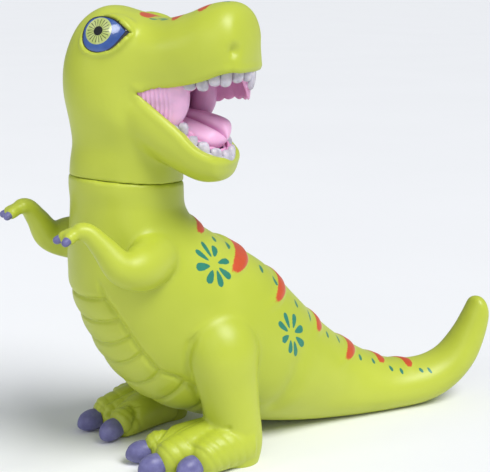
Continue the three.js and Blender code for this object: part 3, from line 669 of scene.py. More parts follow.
class Trunk:
    """The trunk's sections, which tell where a point lies on it."""

    COUNT, SIDES = 400, 60
    STEPS, STRIDE = 3, 3

    def __init__(self):
        self.rings, t = profile_rings(BODY, self.SIDES, self.COUNT, BODY_SQUARENESS, end_cap=TAIL_CAP)
        upper, lower, _ = profile_lines(BODY)
        self.centre, self.half, self.tall, self.up = sections_at(upper, lower, t)
        self.across = np.cross(self.up, [0.0, 1.0, 0.0])
        self.station = t * (len(BODY) - 1)
        self.spine = walked_along(self.centre + self.up * self.tall[:, None])

    def place(self, points):
        """Station, sideways and upward share of the section, half-width and distance along the spine."""
        x = (nearest(points, self.rings.reshape(-1, 3)) // self.SIDES).astype(float)
        last = len(self.station) - 2
        for _ in range(self.STEPS):
            i = np.clip(np.floor(x).astype(int), 0, last)
            before = ((points - self.centre[i]) * self.across[i]).sum(axis=1)
            after = ((points - self.centre[i + 1]) * self.across[i + 1]).sum(axis=1)
            gap = np.where(np.abs(before - after) < 1e-6, 1, before - after)
            x = np.clip(i + np.clip(before / gap, -self.STRIDE, self.STRIDE), 0, last + 1)

        def at(table):
            return np.interp(x, np.arange(len(table)), table)

        centre = np.stack([at(column) for column in self.centre.T], axis=1)
        up = np.stack([at(column) for column in self.up.T], axis=1)
        half = at(self.half)
        high = ((points - centre) * up).sum(axis=1) / at(self.tall)
        aside = (points[:, 1] - centre[:, 1]) / half
        return at(self.station), aside, high, half, at(self.spine)

    def spine_at(self, station):
        return np.interp(station, self.station, self.spine)


# Body
def toe_rings(toe):
    root, middle, end = toe
    width = end[3]
    stations = [(*root, root[3]), (*middle, middle[3]), (*end[:3], width * TOE_NARROWING, width)]
    return limb_rings(stations, sides=40, rings=36, end_cap=width * TOE_CAP)


def claw_rings(toe):
    end = np.array(toe[2][:3], float)
    way = end - np.array(toe[1][:3], float)
    way[2] = 0
    way = unit(way)
    root = end - way * CLAW_BACK
    nose = root + way * CLAW_LENGTH
    places = zip((root, (root + nose) / 2, nose), CLAW_LEVELS, CLAW_SWELL)
    stations = [(x, y, level, CLAW_HALF_WIDTH * k, CLAW_HALF_HEIGHT * k) for (x, y, _), level, k in places]
    return limb_rings(stations, sides=48, rings=40, end_cap=CLAW_HALF_WIDTH * 0.95, start_cap=1.5)


def finger_rings(tip):
    r = FINGER_RADIUS
    stations = [(*FINGER_ROOT, r, r), (*tip, r * 0.95, r * 0.95)]
    return limb_rings(stations, sides=30, rings=12, end_cap=r * TIP_CAP, start_cap=r * TIP_CAP)


def nail_rings(tip):
    end, r = np.array(tip, float), NAIL_RADIUS
    way = unit(end - np.array(FINGER_ROOT, float))
    start, nose = end - way * NAIL_LENGTH * NAIL_SEAT, end + way * NAIL_LENGTH * (1 - NAIL_SEAT)
    stations = [(*start, r, r), (*nose, r * 0.75, r * 0.75)]
    return limb_rings(stations, sides=30, rings=16, end_cap=r * TIP_CAP, start_cap=0.6)


def seam_cutters(side, turn):
    """Cutters that trim a form at the seam and hollow its rim; side is 1 for the head and -1 for the body."""
    face = side * SEAM_GAP / 2
    beyond = prism(SQUARE * TRIM_SIDE, sorted([face, -side * TRIM_DEPTH]))
    bore = NECK_BORE if side < 0 else NECK_BORE - BORE_GAP
    hole = turned([(0, -BORE_REACH), (bore, -BORE_REACH), (bore, BORE_REACH), (0, BORE_REACH)])
    low, high = sorted([face + side * NECK_LIP, side * NECK_ROOM_DEPTH])
    room = turned([(0, low), (NECK_ROOM, low), (NECK_ROOM, high), (0, high)])
    return [tilted(form, turn) for form in (beyond, hole, room)]


def along_toe(points, toe):
    """Distance back from the toe's end along its middle line, and distance from that line."""
    path = spline(np.array([row[:3] for row in toe], float), np.linspace(0, 1, 60))[::-1]
    gaps = np.linalg.norm(points[:, None, :] - path[None, :, :], axis=2)
    k = gaps.argmin(axis=1)
    return walked_along(path)[k], gaps[np.arange(len(points)), k]


def plate_relief(station, high, side):
    """Belly plates with grooves between them and a groove round them all."""
    edge = np.interp(station, *np.array(BELLY_EDGE).T)
    below = step01(-high, -0.05, 0.2) * between(station, *PLATE_SPAN)
    climb = np.minimum(side / edge, 1) ** 2
    off = np.min([np.abs(station + rise * climb - at) for at, rise in PLATE_GROOVES], axis=0) * STATION_LENGTH
    inside = step01(edge - side, -0.3, 1.4)
    plates = PLATE_RISE - relief(off, GROOVE_CUT) - relief(off, GROOVE_DISH)
    return below * (inside * plates - relief(side - edge, BORDER_CUT) - relief(side - edge, BORDER_DISH))


def foot_relief(left):
    """Wrinkles across the toes and folds along them."""
    x, _, z = left.T
    feet = step01(FOOT_TOP - z, 0, 6) * step01(-x, 26, 34)
    move = -relief(line_distance(left, TOE_FOLD), TOE_FOLD_CUT)
    move -= relief(line_distance(left, INNER_FOLD), INNER_FOLD_CUT)
    for name, toe in TOES.items():
        back, away = along_toe(left, toe)
        width = np.interp(back, TOE_WIDTHS_AT, [row[3] for row in toe[::-1]])
        own = (1 - step01(away - width, 0.6, 2.5)) * step01(z, 2, 6)
        lean = WRINKLE_LEAN * (z - WRINKLE_LEVEL)
        for k, place in enumerate(WRINKLES[name]):
            move -= feet * own * (WRINKLE_DEPTH - WRINKLE_FADE * k) * bump(back + lean - place, WRINKLE_WIDTH)
    return move


def body_details(form, trunk):
    p = form.points
    x, y, z = p.T
    left = on_left(p)
    station, aside, high, half, spine = trunk.place(p)
    move = plate_relief(station, high, np.abs(y)) + foot_relief(left)
    mark, length = orange_marks(station, aside, high, half, spine, trunk)
    move += BUMP_RISE * length * step01(mark, -2.0, 2.0)
    move += between(x, *THIGH_SPAN) * relief(line_distance(left, THIGH_RIDGE), THIGH_RISE)
    move -= (1 - step01(z, *HAUNCH_FADE)) * relief(line_distance(left, HAUNCH), HAUNCH_CUT)
    move += SHOULDER_RISE * near(left, SHOULDER_AT, SHOULDER_REACH)
    above_seam = (p - NECK) @ np.array([math.sin(NECK_TILT), 0, math.cos(NECK_TILT)])
    rim = (np.hypot(x - NECK[0], y) > NECK_RADIUS - SWELL_WALL) * (z > RIM_LEVEL)
    move += SWELL_RISE * step01(above_seam, *SWELL_SPAN) * rim
    form.push(move)


def orange_marks(station, aside, high, half, spine, trunk):
    """Signed distance inside the nearest orange mark, in mm, and that mark's half-length."""
    over = np.abs(np.arctan2(aside, high)) * half
    best = np.full(len(spine), UNPAINTED)
    size = np.zeros(len(spine))
    for top, foot, length, reach in ORANGE:
        share = np.clip(over / reach, 0, 1.5)
        middle = trunk.spine_at(top + (foot - top) * np.minimum(share, 1) ** 1.4)
        form = (np.abs(spine - middle) / length) ** 2.4 + share ** 3.4
        value = (1 - form ** (1 / 2.8)) * length
        size = np.where(value > best, length, size)
        best = np.maximum(best, value)
    return best, size


def teal_drops(spine, over, trunk):
    """Signed distance inside the nearest teal drop."""
    best = np.full(len(spine), UNPAINTED)
    for place, start, foot, end, wide in DROPS:
        a, b = np.array([trunk.spine_at(place), start]), np.array([trunk.spine_at(foot), end])
        run = (b - a) / 2
        reach = np.linalg.norm(run)
        x, y = spine - (a[0] + b[0]) / 2, over - (a[1] + b[1]) / 2
        along, across = (x * run[0] + y * run[1]) / reach, (x * run[1] - y * run[0]) / reach
        best = np.maximum(best, (1 - np.sqrt((along / (reach + 0.4)) ** 2 + (across / wide) ** 2)) * wide)
    return best


def flower(points, normals, centre, petals):
    """Signed distance inside the petals of a flower painted round a centre, in mm."""
    close = np.linalg.norm(points - centre, axis=1) < FLOWER_REACH
    away = points[close] - centre
    normal = normals[close][np.linalg.norm(away, axis=1).argmin()]
    right = unit(np.cross([0.0, 0.0, 1.0], normal))
    x = away @ right * (1 if centre[1] < 0 else -1)
    y = away @ np.cross(normal, right)
    best = np.full(len(x), UNPAINTED)
    for x0, y0, x1, y1, wide in petals:
        length = math.hypot(x1 - x0, y1 - y0)
        c, s = (x1 - x0) / length, (y1 - y0) / length
        along = (c * (x - x0) + s * (y - y0) + PETAL_START) / (length + PETAL_EXTRA)
        across = np.abs(c * (y - y0) - s * (x - x0))
        u = np.clip(along, 0, 1)
        width = wide * PETAL_WIDTH * u ** 0.55 * np.sqrt(1 - u ** 5)
        value = np.where((along > 0) & (along < 1), width - across, -across - length * np.abs(along - u))
        best = np.maximum(best, value)
    out = np.full(len(points), UNPAINTED)
    out[close] = best
    return out


def body_paint(form, trunk):
    p = form.points
    station, aside, high, half, spine = trunk.place(p)
    orange = orange_marks(station, aside, high, half, spine, trunk)[0]
    teal = teal_drops(spine, np.abs(np.arctan2(aside, high)) * half, trunk)
    normals = form.normals()
    for side in (1, -1):
        for centre, petals in FLOWERS:
            teal = np.maximum(teal, flower(p, normals, np.array(centre) * [1, side, 1], petals))
    return {"orange": orange, "teal": teal}


def body_piece():
    trunk = Trunk()
    leg = limb_rings(LEG, sides=72, rings=80, start_cap=9)
    limbs = [leg, limb_rings(ARM, sides=56, rings=80, end_cap=3.5, start_cap=5)]
    limbs += [toe_rings(toe) for toe in TOES.values()] + [finger_rings(tip) for tip in FINGER_TIPS]
    whole = profile_rings(BODY, 150, 220, BODY_SQUARENESS, end_cap=TAIL_CAP)[0]
    base = fused([whole, *limbs, *map(mirrored, limbs)], BODY_VOXEL)
    base = cut(base, [cutter + NECK for cutter in seam_cutters(-1, 0.0)])
    form = Skin(*fused([base], BODY_VOXEL))
    p = form.points
    x, y, z = p.T
    left = on_left(p)
    rim = 1 - (np.hypot(x - NECK[0], y) < NECK_RADIUS - RIM_WALL) * (z > RIM_LEVEL)
    feet = step01(FOOT_TOP - z, 0, 8) * step01(-x, 20, 34)
    hand = step01(-x, 120, 128)
    # The thigh keeps a crease along its front, where leg and trunk meet
    apart = np.maximum(depth_below(p, skin(whole)), depth_below(left, skin(leg)))
    front = step01(-x, *THIGH_FRONT) * between(z, *THIGH_HEIGHTS)
    filled = 1 - front * bump(apart, THIGH_KEEP)
    form.fill(BODY_FILL, 0.6, rim * (1 - 0.78 * feet) * (1 - 0.8 * hand) * filled)
    blend = sum(near(left, at, reach) for at, reach in SOFT_JOINS)
    form.fill(JOIN_FILL, 0.6, rim * np.minimum(blend * 1.6, 1) * filled)
    form.smooth(BODY_SMOOTH, 0.5, 1 - 0.6 * feet)
    body_details(form, trunk)
    form.push(-front * relief(apart, THIGH_CUT))
    form.smooth(1, 0.4)
    paint = body_paint(form, trunk)
    p[:, 2] = np.maximum(z, 0)
    return form.build("body_skin", paint)


# Head
def gape_rings(start, half=60, slant=0.0):
    """The gap between the lips as a slab across the head, from u = start on; slant moves its low end back."""
    share = np.linspace(0, 1, 90)
    upper, lower = spline(UPPER_LIP, share), spline(LOWER_LIP, share)
    u = np.linspace(start, GAPE_END, 60)
    back = slant * (1 - (u - start) / (GAPE_END - start))
    top = np.column_stack([u, np.interp(u, *upper.T)])
    low = np.column_stack([u - back, np.interp(u, *lower.T)])
    return prism(np.vstack([top, low[::-1]]), (-half, half))[:, :, [0, 2, 1]]


def pocket_rings(stations, grow=0.0):
    rows = np.array(stations, float)
    rows[0, 0] -= grow
    rows[-1, 0] += grow
    u, half, low, high = rows.T
    profile = np.column_stack([u, high + grow, u, low - grow, half + grow])
    return profile_rings(profile, 80, 60, POCKET_SQUARENESS, end_cap=POCKET_CAP, start_cap=POCKET_CAP)[0]


def eye_outline(grow=0.0, per_curve=24):
    """Points round the almond outline of an eye in its own plane: x forward, y up."""
    knots = np.array(ALMOND) * [EYE_HALF_LENGTH + grow, EYE_HALF_HEIGHT + grow]
    s = np.linspace(0, 1, per_curve, endpoint=False)[:, None]
    curves = []
    for k in range(0, len(knots) - 1, 3):
        a, b, c, d = knots[k:k + 4]
        curves.append((1 - s) ** 3 * a + 3 * (1 - s) ** 2 * s * b + 3 * (1 - s) * s ** 2 * c + s ** 3 * d)
    return np.vstack(curves)


def eye_rings(levels=26):
    """Rings of an eye in its own frame, from the middle of its dome over the edge to its back."""
    outline = eye_outline()
    spread = np.array(DOME_SPREAD) * [EYE_HALF_LENGTH, EYE_HALF_HEIGHT]
    rings = []
    for r in np.linspace(FIRST_LEVEL, 1, levels):
        bulge = 1 - ((outline * r / spread) ** 2).sum(axis=1)
        rings.append(np.column_stack([outline * r, EYE_DOME * np.sqrt(np.maximum(bulge, 0))]))
    return np.concatenate([np.stack(rings), prism(outline, [EYE_BACK])])


def eye_in_head(points):
    return points @ EYE_TURN.T + np.array(EYE_AT)


def head_details(form):
    """The rim round each eye, the dent round the neck and the nostrils."""
    left = on_left(form.points)
    u, _, w = left.T
    eye = (left - np.array(EYE_AT)) @ EYE_TURN
    outline = eye_outline()
    gap = line_distance(eye[:, :2], np.vstack([outline, outline[:1]]))
    front = step01(eye[:, 2], -3.5, 0.5)
    ahead = step01(eye[:, 0] - 0.6 * eye[:, 1], 0, 9)
    move = front * (relief(gap - RIM_AT, EYE_RIM) + ahead * relief(gap - RIM_AHEAD_AT, EYE_RIM_AHEAD))
    move -= relief(w - NECK_DENT_AT, NECK_DENT) * (1 - step01(u, *NECK_DENT_END))
    for at, radii, depth in NOSTRILS:
        d = (left - np.array(at)) / np.array(radii)
        move -= depth * np.exp(-(d ** 2).sum(axis=1))
    form.push(move)


def head_piece():
    lid = eye_in_head(ellipsoid(LID_RADII, (0, 0, -LID_SEAT)))
    skull = profile_rings(HEAD, 130, 120, SNOUT_SQUARENESS, end_cap=NOSE_CAP)[0]
    jaw = profile_rings(JAW, 100, 70, JAW_SQUARENESS, end_cap=JAW_CAP)[0]
    whole = Skin(*fused([skull, jaw, lid, mirrored(lid)], HEAD_VOXEL))
    whole.fill(HEAD_FILL)
    whole.smooth(HEAD_SMOOTH)
    outer = (whole.points, whole.faces.tolist())
    socket = eye_in_head(prism(eye_outline(SOCKET_GAP), SOCKET_LEVELS))
    pockets = [pocket_rings(stations, POCKET_GAP) for stations in (PALATE, FLOOR)]
    openings = [gape_rings(GAPE_START), *pockets, socket, mirrored(socket), *seam_cutters(1, -HEAD_TURN)]
    form = Skin(*fused([cut(outer, openings)], HEAD_VOXEL))
    form.smooth(CUT_SMOOTH)
    p = form.points
    depth = depth_below(p, outer)
    share = np.linspace(0, 1, 60)
    rolls = 0
    for lip, (away, *roll) in zip((UPPER_LIP, LOWER_LIP), LIP_ROLLS):
        rolls = rolls + relief(line_distance(p[:, [0, 2]], spline(lip, share)) - away, roll)
    form.push(step01(p[:, 0], 18, 26) * (1 - step01(depth, 0.6, 1.6)) * rolls)
    head_details(form)
    mouth = step01(p[:, 0], 14, 18) * between(p[:, 2], 3, 5, 76, 78)
    pink = depth - LIP_PAINT_DEPTH - LIP_PAINT_MORE * step01(p[:, 0], *LIP_PAINT_SPAN)
    paint = {"pink": np.where(mouth > 0.5, pink, -LIP_PAINT_DEPTH), **crown_paint(p)}
    form.points = head_to_model(p)
    return form.build("head_skin", paint)


def crown_paint(points):
    """Signed distance inside the marks on top of the head."""
    u, v, w = points.T
    orange = np.full(len(points), UNPAINTED)
    for at, length, reach in CROWN_MARKS:
        share = np.abs(v) / reach
        form = (np.abs(u - at - CROWN_SLANT * share) / length) ** 2.4 + share ** 2.8
        orange = np.maximum(orange, (1 - form ** (1 / 2.6)) * length)
    teal = np.full(len(points), UNPAINTED)
    long, wide = CROWN_DROP_RADII
    for at, side in CROWN_DROPS:
        d = np.sqrt(((u - at) / long) ** 2 + ((np.abs(v) - side) / wide) ** 2)
        teal = np.maximum(teal, (1 - d) * wide)
    top = w > CROWN_LEVEL
    return {"orange": np.where(top, orange, UNPAINTED), "teal": np.where(top, teal, UNPAINTED)}


def lining_piece():
    base = fused([pocket_rings(PALATE), pocket_rings(FLOOR)], TRIM_VOXEL)
    base = cut(base, [pocket_rings(PALATE, -LINING_WALL), pocket_rings(FLOOR, -LINING_WALL)])
    base = cut(base, [gape_rings(CHEEK_FRONT, slant=CHEEK_SLANT), gape_rings(THROAT_FRONT, THROAT_HALF)])
    roll = limb_rings(CHEEK_ROLL, sides=32, rings=40)
    form = Skin(*fused([base, roll, mirrored(roll)], TRIM_VOXEL))
    form.fill(LINING_FILL)
    form.smooth(LINING_SMOOTH)
    p = form.points
    outer = step01(form.normals()[:, 1] * np.sign(p[:, 1]), 0.5, 0.8)
    form.push(outer * relief(p[:, 0] - CORNER_AT, CORNER_FILL))
    # The folds run round the corner of the mouth
    wave = np.sin(2 * np.pi * (p[:, 0] + FOLD_BEND * (p[:, 2] - FOLD_LEVEL) ** 2) / FOLD_LENGTH)
    form.push(FOLD_HEIGHT * outer * between(p[:, 0], *FOLD_SPAN) * wave)
    form.points = head_to_model(p)
    # The distance along the head drives the lining's painted shade towards the throat
    return form.build("mouth_skin", {"deep": p[:, 0].copy()})


def tongue_piece():
    st = np.array(TONGUE, float)
    path = st[:, :3]
    share, scale = ring_steps(path, 50, end_cap=TONGUE_CAP)
    c, s = section(72, TONGUE_SQUARENESS)
    depth, width = TONGUE_GROOVE
    groove = bump(c, width)
    rings = []
    for middle, way, (half, rise, roll), k in zip(spline(path, share), tangents(path, share),
                                                  spline(st[:, 3:], share), scale):
        across = np.array(Matrix.Rotation(math.radians(roll), 3, Vector(way)) @ Vector((0, 1, 0)))
        up = unit(np.cross(way, across))
        high = np.where(s > 0, rise * (1 - depth * groove), TONGUE_DROP) * k
        rings.append(middle + across * (half * k * c)[:, None] + up * (high * s)[:, None])
    points, faces = skin(np.stack(rings))
    # The groove's share is kept for the painted shade in the groove
    values = np.append(np.tile(np.where(s > 0, groove, 0), len(rings)), [0, 0])
    return finish_object("tongue_skin", head_to_model(points), faces, {"groove": values})


# Teeth
class Row:
    """The middle line of a row of teeth, along the lip and round the front of the jaw."""

    def __init__(self, arch, lip, down):
        half, back, front = arch
        bend = front - half * ARCH_BEND
        run = []
        for k in range(ARCH_STEPS):
            share = k / ARCH_STEPS
            run.append((back + (bend - back) * share, -half * (1 + ARCH_SPLAY * (1 - share))))
        angles = np.linspace(-math.pi / 2, math.pi / 2, 40)
        turn = [(bend + (front - bend) * math.cos(a), half * math.sin(a)) for a in angles]
        line = np.array(run + turn + [(u, -v) for u, v in run[::-1]])
        self.line = np.column_stack([line, lip_height(lip, line[:, 0]) - (GUM_DEPTH / 2 + GUM_LIFT) * down])
        self.walked = walked_along(self.line)

    def at(self, share):
        return np.array([np.interp(share * self.walked[-1], self.walked, column) for column in self.line.T])

    def ways(self, share, step):
        """Level directions along the row and out from it, and its run between the steps to either side."""
        run = self.at(min(share + step, 1)) - self.at(max(share - step, 0))
        run[2] = 0
        way = unit(run)
        return way, np.array([way[1], -way[0], 0]), np.linalg.norm(run)


def lip_height(lip, u):
    return np.interp(u, *np.array(lip, float).T)


def upright(height):
    return np.array([0, 0, height])


def gum_strip(row):
    """A boxy strip that the teeth stand on; its inner side is gum."""
    c, s = section(20, 4)
    wide = TOOTH_THICK / 2 * c
    rings = []
    for share in np.linspace(0, 1, 80):
        _, out, _ = row.ways(share, WAY_STEP)
        rings.append(row.at(share) + out * wide[:, None] + upright(GUM_DEPTH / 2) * s[:, None])
    return np.stack(rings), np.tile(-wide, len(rings))


def gum_band(row, down, hang):
    """A scalloped band of gum behind the teeth."""
    c, s = section(16, 3)
    rings = []
    for share in np.linspace(0.01, 0.99, 150):
        centre = row.at(share)
        _, out, _ = row.ways(share, WAY_STEP)
        scallop = SCALLOP * abs(math.sin(math.pi * share * TEETH)) ** 0.7
        hanging = (1.9 + 0.8 * step01(centre[0], 58, 72)) * hang * step01(centre[1], -8, 6)
        tall = (BAND_HEIGHT + scallop + hanging) / 2
        middle = centre - out * (TOOTH_THICK / 2 - BAND_THICK / 2 + BAND_SET_IN) + upright(down * (tall - 1))
        rings.append(middle + out * (BAND_THICK / 2 * c)[:, None] + upright(tall + 1) * s[:, None])
    return np.stack(rings), np.full(len(rings) * len(c), GUM_INNER)


def tooth(row, i, down, height, hang, lean):
    """A blunt tooth that fills its share of the row, with a soft notch across its end."""
    share = (i + 0.5) / TEETH
    root = row.at(share)
    way, out, run = row.ways(share, 0.5 / TEETH)
    size = 0.93 + 0.13 * math.sin(i * 2.4)
    if down < 0:
        size *= 0.74 + 0.42 * step01(root[0], 48, 70)
    tall = height * size + hang * step01(root[1], -4, 8)
    c, s = section(32, 3.3)
    rings, inner = [], []
    for rise in np.linspace(0, 1, 14):
        swell = 0.9 + 0.1 * math.sin(math.pi * min(rise * 1.3, 1))
        cap = math.sqrt(max(1 - max((rise - 0.62) / 0.38, 0) ** 2.4, 0.012))
        centre = root + upright(down * tall * rise) + way * (lean * tall * rise)
        across, through = run / 2 * swell * cap, TOOTH_THICK / 2 * swell * cap
        ring = centre + way * (across * c)[:, None] + out * (through * s)[:, None]
        ring[:, 2] += down * 0.35 * cap * rise * np.cos(2 * np.pi * c)
        rings.append(ring)
        inner.append(-s * TOOTH_THICK / 2 * swell)
    return np.stack(rings), np.concatenate(inner)


def tooth_row(name, arch, lip, down, height, hang=0.0):
    """A row of blunt teeth on a strip that follows the lip, with a pink gum behind them."""
    row = Row(arch, lip, down)
    parts = [(*gum_strip(row), 0), (*gum_band(row, down, hang), GUM_INNER)]
    leans = np.random.default_rng(ROW_SEEDS[down])
    for i in range(TEETH):
        parts.append((*tooth(row, i, down, height, hang, leans.uniform(-TOOTH_LEAN, TOOTH_LEAN)), 0))
    points, faces = together([rings for rings, _, _ in parts])
    inner = np.concatenate([np.append(values, [ends, ends]) for _, values, ends in parts])
    return finish_object(name, head_to_model(points), faces, {"inner": inner})


def eye_piece(name, side):
    rings = eye_rings()
    sides = rings.shape[1]
    levels = np.linspace(FIRST_LEVEL, 1, len(rings) - 1)
    dome = np.repeat((1 - levels) * EDGE_SCALE, sides)
    edge = np.concatenate([dome, np.full(sides, -1.0), [EDGE_SCALE, -1.0]])
    points, faces = skin(rings)
    head = eye_in_head(points) * np.array([1, side, 1])
    return finish_object(name, head_to_model(head), faces, {"place": points, "edge": edge})


def plug_piece():
    """A ring whose two flanges reach into the rooms of both rims."""
    inner, post, flange = NECK_BORE - PLUG_WALL, NECK_BORE - POST_GAP, NECK_BORE + FLANGE_REACH
    soft = FLANGE_ROUND
    low = -SEAM_GAP / 2 - NECK_LIP - FLANGE_GAP_LOW
    high = SEAM_GAP / 2 + NECK_LIP + FLANGE_GAP_HIGH
    foot, top = low - FLANGE_THICK, high + FLANGE_THICK
    outline = [
        (inner, foot - FLANGE_THICK), (post, foot - FLANGE_THICK), (flange - soft, foot), (flange, foot + soft),
        (flange, low - soft), (flange - soft, low), (post, low), (post, high), (flange - soft, high),
        (flange, high + soft), (flange, top - soft), (flange - soft, top), (inner, top),
    ]
    points, faces = skin(turned(outline, sides=144), loop=True)
    obj = finish_object("plug_ring", head_to_model(tilted(points, -HEAD_TURN)), faces)
    obj.data.polygons.foreach_set("use_smooth", np.zeros(len(faces), bool))
    return obj


# Materials
class Shader:
    """A material's nodes, added by name, with values or links as inputs."""

    def __init__(self, name):
        self.material = bpy.data.materials.new(name)
        self.material.use_nodes = True
        self.tree = self.material.node_tree
        self.surface = self.tree.nodes["Principled BSDF"]

    def put(self, socket, value):
        if isinstance(value, bpy.types.NodeSocket):
            self.tree.links.new(value, socket)
        elif isinstance(value, tuple) and socket.type == "RGBA":
            socket.default_value = (*value, 1.0)
        else:
            socket.default_value = value

    def add(self, kind, settings=None, places=(), **inputs):
        """A node; places go into its first sockets in order, inputs into the sockets of those names."""
        node = self.tree.nodes.new(kind)
        for key, value in (settings or {}).items():
            setattr(node, key, value)
        for key, value in (*enumerate(places), *inputs.items()):
            self.put(node.inputs[key], value)
        return node

    def math(self, operation, *values):
        return self.add("ShaderNodeMath", {"operation": operation}, values).outputs[0]

    def ramp(self, value, low, high):
        settings = {"interpolation_type": "SMOOTHSTEP"}
        return self.add("ShaderNodeMapRange", settings, (value, low, high)).outputs[0]

    def mix(self, share, a, b):
        node = self.add("ShaderNodeMix", {"data_type": "RGBA"}, (share,))
        self.put(node.inputs[6], a)
        self.put(node.inputs[7], b)
        return node.outputs[2]

    def attribute(self, name, output="Fac"):
        return self.add("ShaderNodeAttribute", {"attribute_name": name}).outputs[output]

    def noise(self, scale, detail=3.0, rough=0.5):
        place = self.add("ShaderNodeTexCoord").outputs["Object"]
        node = self.add("ShaderNodeTexNoise", Vector=place, Scale=scale, Detail=detail, Roughness=rough)
        return node.outputs[0]

    def ragged(self, scale, detail, size):
        """Noise of the given size about 0."""
        return self.math("MULTIPLY_ADD", self.noise(scale, detail), size, -size / 2)

    def mottled(self, tones, scale, detail=4.0, low=0.3, high=0.7):
        return self.mix(self.ramp(self.noise(scale, detail), low, high), *tones)

    def bump(self, scale, strength, distance):
        node = self.add("ShaderNodeBump", Height=self.noise(scale), Strength=strength, Distance=distance)
        self.put(self.surface.inputs["Normal"], node.outputs[0])

    def set(self, **inputs):
        for key, value in inputs.items():
            self.put(self.surface.inputs[key.replace("_", " ")], value)


# Tones, darker and lighter
GREENS = (0.44, 0.51, 0.042), (0.50, 0.565, 0.058)
ORANGES = (0.52, 0.062, 0.016), (0.62, 0.095, 0.028)
TEALS = (0.016, 0.17, 0.115), (0.028, 0.24, 0.16)
LIP_PINKS = (0.72, 0.42, 0.64), (0.84, 0.46, 0.70)
MOUTH_PINKS = (0.72, 0.42, 0.64), (0.84, 0.47, 0.71)
THROAT_SHADE_PINK = (0.68, 0.26, 0.49)
TONGUE_PINKS = (0.84, 0.45, 0.69), (0.88, 0.53, 0.75)
GROOVE_SHADE_PINK = (0.55, 0.18, 0.40)
GUM_PINK = (0.76, 0.36, 0.59)
TOOTH_WHITES = (0.40, 0.37, 0.44), (0.62, 0.59, 0.65)
CLAW_PURPLES = (0.125, 0.12, 0.285), (0.175, 0.17, 0.37)
EYE_BLUES = (0.03, 0.075, 0.29), (0.06, 0.135, 0.41)
IRIS_GREENS = (0.46, 0.55, 0.14), (0.60, 0.66, 0.28)
IRIS_LINE = (0.05, 0.07, 0.02)
PUPIL_BLACK = (0.006, 0.006, 0.008)
RIM_BLACK = (0.01, 0.012, 0.02)
PLUG_GREYS = (0.42, 0.42, 0.39), (0.56, 0.56, 0.53)
FLOOR_WHITES = (0.84, 0.845, 0.86), (0.87, 0.875, 0.89)

# Iris and pupil, in the eye's own plane
IRIS_AT = (-3.2, 1.8)
IRIS_RADIUS = 7.5
IRIS_STRETCH = 1.22
IRIS_LINES = 20.0
PUPIL_RADIUS = 2.6
SOFT_EDGE = 0.15


def painted_vinyl(name, mouth=False):
    """Satin vinyl with printed orange and teal marks, and a pink mouth if asked."""
    sh = Shader(name)
    colour = sh.mottled(GREENS, 14.0, 3.0, low=0.35)
    ragged = sh.ragged(900.0, 2.0, 0.7)
    mottle = sh.noise(260.0, 4.0, 0.6)
    marks = [("orange", ORANGES, -0.15, 0.2), ("teal", TEALS, -0.15, 0.2)]
    if mouth:
        marks.append(("pink", LIP_PINKS, -0.2, 0.25))
    for field, tones, low, high in marks:
        share = sh.ramp(sh.math("ADD", sh.attribute(field), ragged), low, high)
        colour = sh.mix(share, colour, sh.mix(mottle, *tones))
    rough = sh.math("MULTIPLY_ADD", sh.noise(60.0, 4.0), 0.14, 0.33)
    sh.set(Base_Color=colour, Roughness=rough, Specular_IOR_Level=0.45)
    sh.set(Subsurface_Weight=0.12, Subsurface_Scale=0.004, Subsurface_Radius=(1.0, 0.9, 0.3))
    sh.bump(380.0, 0.12, 0.0004)
    return sh.material


def claw_paint():
    sh = Shader("claw_paint")
    mottle = sh.noise(170.0, 5.0, 0.62)
    colour = sh.mix(sh.ramp(mottle, 0.35, 0.68), *CLAW_PURPLES)
    sh.set(Base_Color=colour, Roughness=sh.math("MULTIPLY_ADD", mottle, 0.2, 0.3), Specular_IOR_Level=0.45)
    sh.bump(500.0, 0.12, 0.0003)
    return sh.material


def satin(sh, colour, rough, glow, bump):
    """Finishes a soft satin material; glow is the weight and scale of its subsurface."""
    sh.set(Base_Color=colour, Roughness=rough, Subsurface_Weight=glow[0], Subsurface_Scale=glow[1])
    sh.bump(*bump)
    return sh.material


def tooth_paint():
    sh = Shader("tooth_paint")
    gum = sh.ramp(sh.math("ADD", sh.attribute("inner"), sh.ragged(420.0, 3.0, 2.6)), 0.4, 1.2)
    colour = sh.mix(gum, sh.mottled(TOOTH_WHITES, 240.0), GUM_PINK)
    return satin(sh, colour, 0.38, (0.08, 0.002), (350.0, 0.15, 0.0004))


def mouth_paint():
    sh = Shader("mouth_paint")
    # Painted shade: the lining turns a darker pink towards the back of the mouth, where the throat lies in shade
    throat_shade = sh.ramp(sh.attribute("deep"), 34.0, 8.0)
    colour = sh.mix(throat_shade, sh.mottled(MOUTH_PINKS, 120.0), THROAT_SHADE_PINK)
    return satin(sh, colour, 0.45, (0.1, 0.003), (300.0, 0.15, 0.0004))


def tongue_paint():
    sh = Shader("tongue_paint")
    # Painted shade: the tongue's groove is coloured a darker pink
    groove = sh.ramp(sh.attribute("groove"), 0.3, 1.0)
    colour = sh.mix(groove, sh.mottled(TONGUE_PINKS, 110.0), GROOVE_SHADE_PINK)
    return satin(sh, colour, 0.42, (0.1, 0.003), (420.0, 0.18, 0.0004))


